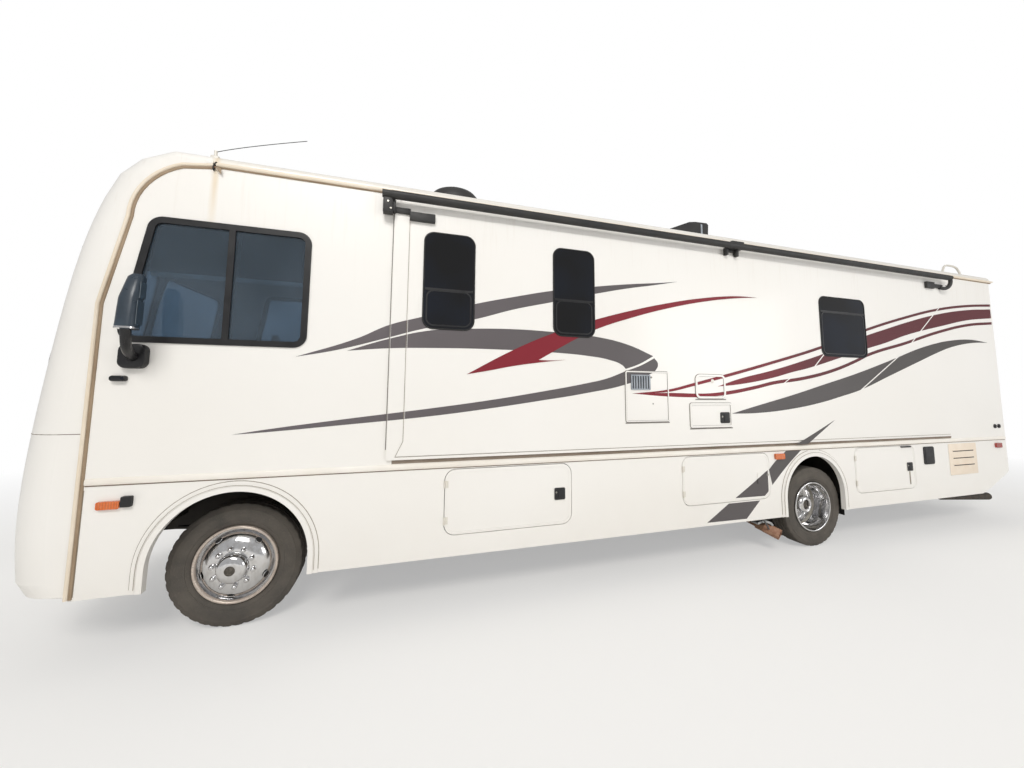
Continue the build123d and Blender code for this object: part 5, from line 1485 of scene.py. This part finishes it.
# %% Fan cover and dome
fan = thicken(filled([(-4.10, 3.72, "tip"), (-4.10, 3.775, "tip"), (-4.60, 3.99, "tip"),
                      (-4.70, 4.006, "tip"),
                      (-4.87, 4.012, "tip"), (-4.895, 3.99, "tip"), (-4.875, 3.72, "tip")]), (0, 0.465, 0))
bmesh.ops.translate(fan, vec=(FRONT_AXLE, 0.555, 0), verts=fan.verts)
piece("fan_cover", fan, weathered_black)
strip = block((at(-4.80), 1.0195, 3.78), (at(-4.775), 1.0225, 3.985))
piece("fan_cover_strip", strip, louvre_grey)
# radius and height up the dome
DOME_ROWS = ((0.0, 3.72), (0.287, 3.72), (0.290, 3.78), (0.286, 3.84), (0.268, 3.895), (0.232, 3.938),
             (0.180, 3.968), (0.110, 3.987), (0.050, 3.993), (0.0, 3.994))
DOME_X, DOME_Y = at(-1.70), 0.812
dome = bmesh.new()
verts = [dome.verts.new((DOME_X + r, DOME_Y, z)) for r, z in DOME_ROWS]
edges = [dome.edges.new(pair) for pair in zip(verts, verts[1:])]
bmesh.ops.spin(dome, geom=verts + edges, cent=(DOME_X, DOME_Y, 0), axis=(0, 0, 1), angle=2 * math.pi,
               steps=48, use_merge=True)
piece("roof_dome", dome, weathered_black)
louvres = bmesh.new()
for station in (-2.30, -7.30):
    for step in range(6):
        z = 3.84 + 0.027 * step
        x = at(station - 0.500) + 0.10 * (z - 3.78) / 0.26
        join(louvres, block((x - 0.004, -0.26, z), (x + 0.004, 0.26, z + 0.012)))
piece("air_unit_louvres", louvres, grained_abs_black)
print("roof fittings")

# %% [markdown]
# A whip aerial stands on the front corner of the roof. Beside it the wall's cover strip has come loose where
# the bead meets the roof rail: there is a gap, dark with painted shade, a rust mark and a small hanging
# corner of vinyl.

# %% Aerial and the loose joint
base = block((at(0.27), 1.195, 3.70), (at(0.33), 1.240, 3.765), 0.010)
join(base, tube([(at(0.30), 1.218, 3.76), (at(0.30), 1.218, 3.81)], 0.012, sides=4))
piece("aerial_base", base, white_tube)
whip = tube([(at(0.30), 1.218, 3.80), (at(0.12), 1.218, 3.885), (at(-0.36), 1.218, 4.034)], 0.0028, True)
piece("aerial_whip", whip, black_rubber_and_painted_shade)
gap_line = arc_between((0.252, 3.672), (0.268, 3.648), (0.272, 3.606), 6)
# the gap's dark strip: painted shade
piece("joint_gap", swept(gap_line, flat(-0.0045, 0.0045, 0.0215), SIDE), painted_recess_shade)
cover = slab((at(0.278), at(0.328)), (3.655, 3.682), SIDE, SIDE + 0.0150, 0.006, 0.003)
piece("joint_cover", cover, body_gel_coat)
spot = disc(at(0.264), 3.628, SIDE + 0.0195, 0.009, 0.0018)
piece("joint_rust_mark", spot, rusty_iron)
flap = thicken(filled([(0.262, 3.634, "tip"), (0.214, 3.620, "tip"), (0.216, 3.572, "tip")]), (0, 0.004, 0))
bmesh.ops.translate(flap, vec=(FRONT_AXLE, SIDE + 0.0205, 0), verts=flap.verts)
piece("loose_corner", flap, browned_vinyl_and_painted_shade)
print("aerial and loose joint")

# %% [markdown]
# Sheet-metal wells close the space round each wheel, so no daylight shows through an arch. A rubber flap
# hangs behind the twin wheels. The doors turn on barrel hinges along their front edges.

# %% Wheel wells and hinges
# front sheet and its foot, rear sheet and its foot, inner face
WELLS = ((0.600, 0.75, -0.600, 0.60, 0.500), (-5.556, 0.60, -6.652, 0.60, 0.560))
SHEET, WELL_TOP = 0.006, 1.189
sheets = bmesh.new()
for front, front_foot, rear, rear_foot, inner in WELLS:
    for low_x, foot in ((front, front_foot), (rear - SHEET, rear_foot)):
        join(sheets, block((at(low_x), inner, foot), (at(low_x + SHEET), 1.240, WELL_TOP)))
    join(sheets, block((at(rear), inner - SHEET, 0.640), (at(front), inner, WELL_TOP)))
piece("wheel_wells", on_both(sheets), dusty_chassis_black)
flap = block((at(-6.664), 0.640, 0.330), (at(-6.658), 1.215, 0.640))
piece("mud_flaps", on_both(flap), black_rubber_and_painted_shade)
DOOR_HINGES = [(body, front, (low + 0.13, high - 0.13), sign) for body, front, _, low, high, sign, _ in BAYS]
DOOR_HINGES.append(("entry_door", -0.93, (0.80, 1.50, 2.50), -1))
for body, front, heights, sign in DOOR_HINGES:
    hinges = bmesh.new()
    for z in heights:
        pin = (at(front - 0.003), SIDE + 0.010)
        join(hinges, tube([(*pin, z - 0.032), (*pin, z + 0.032)], 0.008, sides=3))
        leaf = block((at(front - 0.036), SIDE, z - 0.030), (at(front - 0.005), SIDE + 0.005, z + 0.030),
                     0.0015)
        join(hinges, leaf)
    piece(f"hinges_{body}", by_side(hinges, sign), white_tube, body)
print("wells and hinges")

# %% [markdown]
# The tail of the driver's side has the power inlet under its black lid, a beige louvred cover, and two
# small round sockets. Under the skirt hang the exhaust's rusty outlet with its strap, and the black pipe.

# %% Tail fittings and exhaust
lid = slab((at(-8.39), at(-8.17)), (0.90, 1.14), SIDE, SIDE + 0.012, 0.03, 0.004)
join(lid, slab((at(-8.372), at(-8.188)), (0.918, 1.122), SIDE + 0.012, SIDE + 0.018, 0.024, 0.004))
piece("power_inlet", lid, grained_abs_black)
tan_rust = finish("tan_rusty_tip", "#B08A72", "#8A5F48", 0.7, 0.003, 0.0006, patch=0.04)
bright_shield = finish("bright_heat_shield", "#C9CCCE", "#9EA1A2", 0.35, 0.004, 0.0004, 0.8, patch=0.05)
beige_cover = finish("beige_painted_louvre", "#F1E5D5", "#E4D3BE", 0.42, 0.004, patch=0.25)
plate = slab((at(-9.366), at(-8.724)), (0.724, 1.161), SIDE + 0.0051, SIDE + 0.0090, 0.012, 0.002)
# dark strips in the cover's slots: painted shade
slots = bmesh.new()
for z in (0.857, 0.957, 1.055):
    join(plate, slab((at(-9.30), at(-8.80)), (z + 0.006, z + 0.020), SIDE + 0.0090, SIDE + 0.0140,
                     0.006, 0.003))
    join(slots, slab((at(-9.29), at(-8.81)), (z - 0.006, z + 0.006), SIDE + 0.0091, SIDE + 0.0110, 0.004))
piece("louvre_cover", plate, beige_cover)
piece("louvre_slots", slots, painted_recess_shade)
sockets = bmesh.new()
for x in (-9.905, -10.005):
    join(sockets, disc(at(x), 1.390, SIDE, 0.030, 0.014))
    join(sockets, disc(at(x), 1.390, SIDE + 0.014, 0.018, 0.004))
piece("round_sockets", sockets, grained_abs_black)
strut = tube([(at(-5.27), 1.235, 0.44), (at(-5.35), 1.235, 0.33), (at(-5.42), 1.20, 0.27)], 0.009)
piece("exhaust_strap", strut, galvanised_box)
# a black strip low on each rear corner
corner_strip = block((at(-10.232), 1.150, 0.70), (at(-10.182), 1.200, 0.985), 0.008)
piece("rear_corner_dark_strips", on_both(corner_strip), grained_abs_black)
foot = slab((at(0.590), at(0.652)), (1.030, 1.104), SIDE, SIDE + 0.028, 0.008, 0.003)
piece("side_lamp_feet", on_both(foot), grained_abs_black)
TIP_END, TIP_FROM = Vector((at(-5.500), 1.262, 0.222)), Vector((at(-5.330), 0.900, 0.350))
tip_way = (TIP_END - TIP_FROM).normalized()
TIP_ROWS = [(0.0520, -0.010), (0.0600, -0.010), (0.0605, 0.150), (0.0590, 0.1545), (0.0545, 0.1545),
            (0.0520, 0.150)]
tip = turned(TIP_ROWS, 40, 0.0, 0.0, 0.0, close=True)
turn = tip_way.to_track_quat("Y", "Z").to_matrix().to_4x4()
to_tip = Matrix.Translation(TIP_END - tip_way * 0.150) @ turn
bmesh.ops.transform(tip, matrix=to_tip, verts=tip.verts)
piece("exhaust_tip", tip, tan_rust)
lining = turned([(0.0505, -0.040), (0.0505, 0.148)], 32, 0.0, 0.0, 0.0)
join(lining, turned([(0.0505, -0.040), (0.0, -0.040)], 32, 0.0, 0.0, 0.0))
bmesh.ops.transform(lining, matrix=to_tip, verts=lining.verts)
piece("exhaust_lining", lining, rust_inside)
shield = swept([(-5.24, 0.352), (-5.30, 0.368), (-5.37, 0.366), (-5.44, 0.340), (-5.47, 0.310)],
               flat(-0.012, 0.012, 0.09), 1.120)
piece("exhaust_shield", shield, bright_shield)
seam = block((at(-10.1845), -1.215, 0.992), (at(-10.1800), 1.215, 0.998))
piece("bumper_seam", seam, seal_grey_and_painted_shadow)
print("tail fittings")

# %% [markdown]
# The topper is an awning that rolls out over the slide-out. Its roller hangs from a cast bracket at each
# end and rests on a clamp in its middle, and a box on the wall hides each spring.

# %% Topper
TOPPER_Y, TOPPER_Z, TOPPER_R = 1.375, 3.585, 0.034
WALL_Y = SLIDE_FLANGE
topper = tube([(at(x), TOPPER_Y, TOPPER_Z) for x in (-1.006, -8.970)], TOPPER_R, sides=8)
cloth_roll = [(at(x), TOPPER_Y + 0.006, TOPPER_Z - 0.004) for x in (-1.085, -8.890)]
join(topper, tube(cloth_roll, 0.037, sides=8))
# rear and front station, inner and outer face, low, high, softness
TOPPER_PARTS = (
    (-1.098, -1.014, WALL_Y, 1.384, 3.420, 3.614, 0.008),
    (-1.250, -1.020, WALL_Y, 1.328, 3.448, 3.500, 0.004),
    (-1.468, -1.242, SLIDE_FACE, 1.352, 3.388, 3.468, 0.006),
    (-1.120, -1.092, WALL_Y, 1.366, 3.440, 3.560, 0.004),
    (-5.030, -4.850, WALL_Y, 1.402, 3.546, 3.634, 0.010),
    (-4.830, -4.796, SLIDE_FACE, 1.366, 3.470, 3.560, 0.006),
    (-4.980, -4.946, SLIDE_FACE, 1.366, 3.466, 3.556, 0.006),
    (-4.980, -4.800, SLIDE_FACE, 1.336, 3.520, 3.552, 0.004),
    (-8.640, -8.465, SLIDE_FACE, 1.352, 3.405, 3.500, 0.006),
    (-8.860, -8.600, WALL_Y, 1.335, 3.430, 3.482, 0.004),
)
for rear, front, inner, outer, low, high, soft in TOPPER_PARTS:
    join(topper, block((at(rear), inner, low), (at(front), outer, high), soft))
hook = [(at(-8.935), 1.375, 3.590), (at(-8.965), 1.375, 3.560), (at(-8.968), 1.370, 3.500),
        (at(-8.940), 1.350, 3.440), (at(-8.880), 1.330, 3.425), (at(-8.800), 1.320, 3.440)]
join(topper, tube(hook, 0.024, True, 3))
made = piece("topper_roller", topper, weathered_black, "slide_out")
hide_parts("slide_topper")
bolts = bmesh.new()
for x, z in ((-1.056, 3.590), (-1.056, 3.515), (-1.080, 3.455), (-8.905, 3.470)):
    join(bolts, disc(at(x), z, 1.3835 if x > -2 else 1.346, 0.009, 0.004))
piece("topper_bolts", bolts, key_steel, "slide_out")

# %% [markdown]
# Behind the driver's window a pale curtain rail crosses both panes, and a dark screen is drawn over the upper
# half of the rear pane.

# %% Behind the driver's window
plain_cloth = finish("dark_screen_cloth", "#232425", "#1B1C1D", 0.9, 0.02, 0.0001, patch=0.5)
rail = block((at(-0.400), 1.228, 2.722), (at(0.640), 1.240, 2.760), 0.003)
piece("curtain_rail", rail, white_tube)
screen = block((at(-0.385), 1.218, 2.760), (at(0.070), 1.222, 3.140))
piece("window_screen", screen, plain_cloth)
print("driver's window")

# %% [markdown]
# The cab seats are foam cushions in woven cloth. Each pad starts as a block, is divided, and is blown out
# towards its middle so that it crowns, while its edges pull in. The cloth is a fine check of thread, drawn
# coarser than life so that it shows.

# %% Seat cloth
def woven_cloth():
    material, tree, shader, place = start("woven_seat_cloth")
    weave = [add(tree, "TexWave", {"Vector": place, "Scale": 1 / 0.006}, bands_direction=way).outputs["Fac"]
             for way in ("Y", "Z")]
    threads = add(tree, "Math", {0: weave[0], 1: weave[1]}, operation="MAXIMUM")
    patches = add(tree, "MapRange", {"Value": blotches(tree, place, 0.15), "From Min": 0.3, "From Max": 0.7})
    tone = add(tree, "Mix", {"Factor": add(tree, "Math", {0: patches, 1: 0.6}, operation="MULTIPLY"),
                             6: "#6B6257", 7: "#574E44"}, data_type="RGBA")
    worn = add(tree, "Math", {0: threads, 1: 0.35}, operation="MULTIPLY")
    tone = add(tree, "Mix", {"Factor": worn, 6: tone, 7: "#8A8072"}, data_type="RGBA")
    feed(tree, shader, {"Base Color": tone, "Roughness": 0.9, "Sheen Weight": 0.3})
    feed(tree, shader, {"Normal": add(tree, "Bump", {"Height": threads, "Distance": 0.0008,
                                                     "Strength": 0.4})})
    return material


seat_cloth = woven_cloth()


SMOOTH_PASSES = 3


def pad(low, high, swell):
    """A crowned cushion between two corners: a rounded block whose faces swell at their middles."""
    shape = block([a + swell * 0.6 for a in low], [b - swell * 0.6 for b in high])
    bmesh.ops.subdivide_edges(shape, edges=shape.edges[:], cuts=7, use_grid_fill=True)
    middle = [(a + b) / 2 for a, b in zip(low, high)]
    half = [(b - a) / 2 for a, b in zip(low, high)]
    for vert in shape.verts:
        apart = [(vert.co[i] - middle[i]) / half[i] for i in range(3)]
        for i in range(3):
            others = [apart[j] for j in range(3) if j != i]
            crown = (1 - others[0] ** 2) * (1 - others[1] ** 2)
            if abs(apart[i]) > 0.8 * (1 - swell * 0.6 / half[i]):
                vert.co[i] += math.copysign(swell * 1.2 * crown - swell * 0.5, apart[i])
    for _ in range(SMOOTH_PASSES):
        bmesh.ops.smooth_vert(shape, verts=shape.verts[:], factor=0.35, use_axis_x=True, use_axis_y=True,
                              use_axis_z=True)
    return shape


PADS = (
    ("cushion", (-0.500, 0.315, 1.555), (0.025, 0.825, 1.705), 0.020),
    ("back", (-0.665, 0.325, 1.690), (-0.495, 0.815, 2.300), 0.022),
    ("headrest", (-0.655, 0.435, 2.310), (-0.515, 0.705, 2.500), 0.016),
    ("arm_out", (-0.500, 0.832, 1.770), (-0.080, 0.890, 1.860), 0.008),
    ("arm_in", (-0.500, 0.250, 1.770), (-0.080, 0.308, 1.860), 0.008),
)
for side, sign in SIDES:
    stand = block((at(-0.42), 0.40, 1.251), (at(-0.08), 0.74, 1.57), 0.012)
    join(stand, tube([(at(-0.58), 0.57, 2.26), (at(-0.58), 0.57, 2.34)], 0.012))
    for y in (0.861, 0.279):
        join(stand, block((at(-0.36), y - 0.022, 1.60), (at(-0.30), y + 0.022, 1.79), 0.006))
    made = piece(f"seat_stand_{side}", by_side(stand, sign), dash_plastic)
    if sign > 0:
        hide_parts("cab_seats")
    for name, low, high, swell in PADS:
        shape = pad((at(low[0]), *low[1:]), (at(high[0]), *high[1:]), swell)
        made = piece(f"seat_{name}_{side}", by_side(shape, sign), seat_cloth, smooth=80)
        levels = made.modifiers.new("rounder", "SUBSURF")
        levels.levels = levels.render_levels = 1
print("seats")


# %% [markdown]
# The camera stands where the photographer stood: close to the vehicle's side, at eye height, with a very
# wide lens. The world and three large lamps light the body evenly, as in a studio.

# %% Camera
FOCAL_PX, CENTRE_Y = 370.0, 358.24
YAW, PITCH, ROLL = 0.288, 0.09, 0.007
IMAGE, SENSOR = (1024, 768), 36.0
forward = Vector((-math.sin(YAW) * math.cos(PITCH), -math.cos(YAW) * math.cos(PITCH), math.sin(PITCH)))
level_right = forward.cross(Vector((0, 0, 1))).normalized()
level_up = level_right.cross(forward)
right = math.cos(ROLL) * level_right + math.sin(ROLL) * level_up
up = math.cos(ROLL) * level_up - math.sin(ROLL) * level_right
camera_data = bpy.data.cameras.new("camera")
camera = bpy.data.objects.new("camera", camera_data)
scene.collection.objects.link(camera)
camera.matrix_world = Matrix.Translation((at(VIEWER[0]), VIEWER_Y, VIEWER[1])) @ Matrix(
    (right, up, -forward)).transposed().to_4x4()
camera_data.sensor_width = SENSOR
camera_data.lens = FOCAL_PX * SENSOR / IMAGE[0]
camera_data.shift_y = (CENTRE_Y - IMAGE[1] / 2) / IMAGE[0]
camera_data.clip_end = 500.0
scene.camera = camera
print("lens", round(camera_data.lens, 2), "mm")

# %% Floor, world and lamps
def lamp(name, place, target, size, power, tint="#FFFFFF"):
    data = bpy.data.lights.new(name, "AREA")
    data.shape = "RECTANGLE"
    data.size, data.size_y = size
    data.energy = power
    data.color = colour(tint)[:3]
    made = bpy.data.objects.new(name, data)
    made.location = place
    made.rotation_mode = "QUATERNION"
    made.rotation_quaternion = (Vector(target) - Vector(place)).to_track_quat("-Z", "Y")
    scene.collection.objects.link(made)
    return made


def pale_floor():
    """Near the object the floor shows its shadow; further out it fades to the white of the world."""
    material, tree, shader, place = start("pale_floor")
    spot = add(tree, "Mapping", {"Vector": place, "Scale": (1 / 14, 1 / 10, 1)})
    away = add(tree, "VectorMath", {0: spot}, operation="LENGTH").outputs["Value"]
    fade = add(tree, "MapRange", {"Value": away, "From Min": 0.55, "From Max": 1.05})
    feed(tree, shader, {"Base Color": add(tree, "Mix", {"Factor": fade, 6: "#F1EFEB", 7: "#FFFFFF"},
                                          data_type="RGBA")})
    feed(tree, shader, {"Roughness": 0.9})
    rays = add(tree, "LightPath")
    white = add(tree, "Emission", {"Color": (1, 1, 1, 1), "Strength": 1.0})
    glow = add(tree, "MapRange", {"Value": fade, "To Min": 0.4})
    share = add(tree, "Math", {0: glow, 1: rays.outputs["Is Camera Ray"]}, operation="MULTIPLY")
    blend = add(tree, "MixShader", {0: share, 1: shader, 2: white})
    feed(tree, tree.nodes["Material Output"], {"Surface": blend})
    return material


shape = bmesh.new()
bmesh.ops.create_grid(shape, x_segments=1, y_segments=1, size=120.0)
mesh = bpy.data.meshes.new("floor")
shape.to_mesh(mesh)
shape.free()
mesh.materials.append(pale_floor())
floor = bpy.data.objects.new("floor", mesh)
floor.location.z = -0.001
scene.collection.objects.link(floor)

world = bpy.data.worlds.new("studio")
scene.world = world
world.use_nodes = True
tree = world.node_tree
tree.nodes.clear()
rays = add(tree, "LightPath")
seen = add(tree, "Math", {0: rays.outputs["Is Camera Ray"], 1: rays.outputs["Is Transmission Ray"]},
           operation="MAXIMUM")
strength = add(tree, "MapRange", {"Value": seen, "To Min": 0.5})
sky = add(tree, "Background", {"Color": (1, 1, 1, 1), "Strength": strength})
add(tree, "OutputWorld", {"Surface": sky})

lamp("key", (at(1.0), 12.5, 12.0), (at(-4.0), 1.2, 1.2), (7, 4), 1180, "#FFFDFA")
lamp("fill", (at(-13.0), 10.0, 3.5), (at(-6.0), 1.2, 1.4), (5, 4), 230)
lamp("back", (at(-4.0), -9.0, 8.0), (at(-4.0), 0, 2.0), (10, 4), 330)
scene.view_settings.view_transform = "Standard"
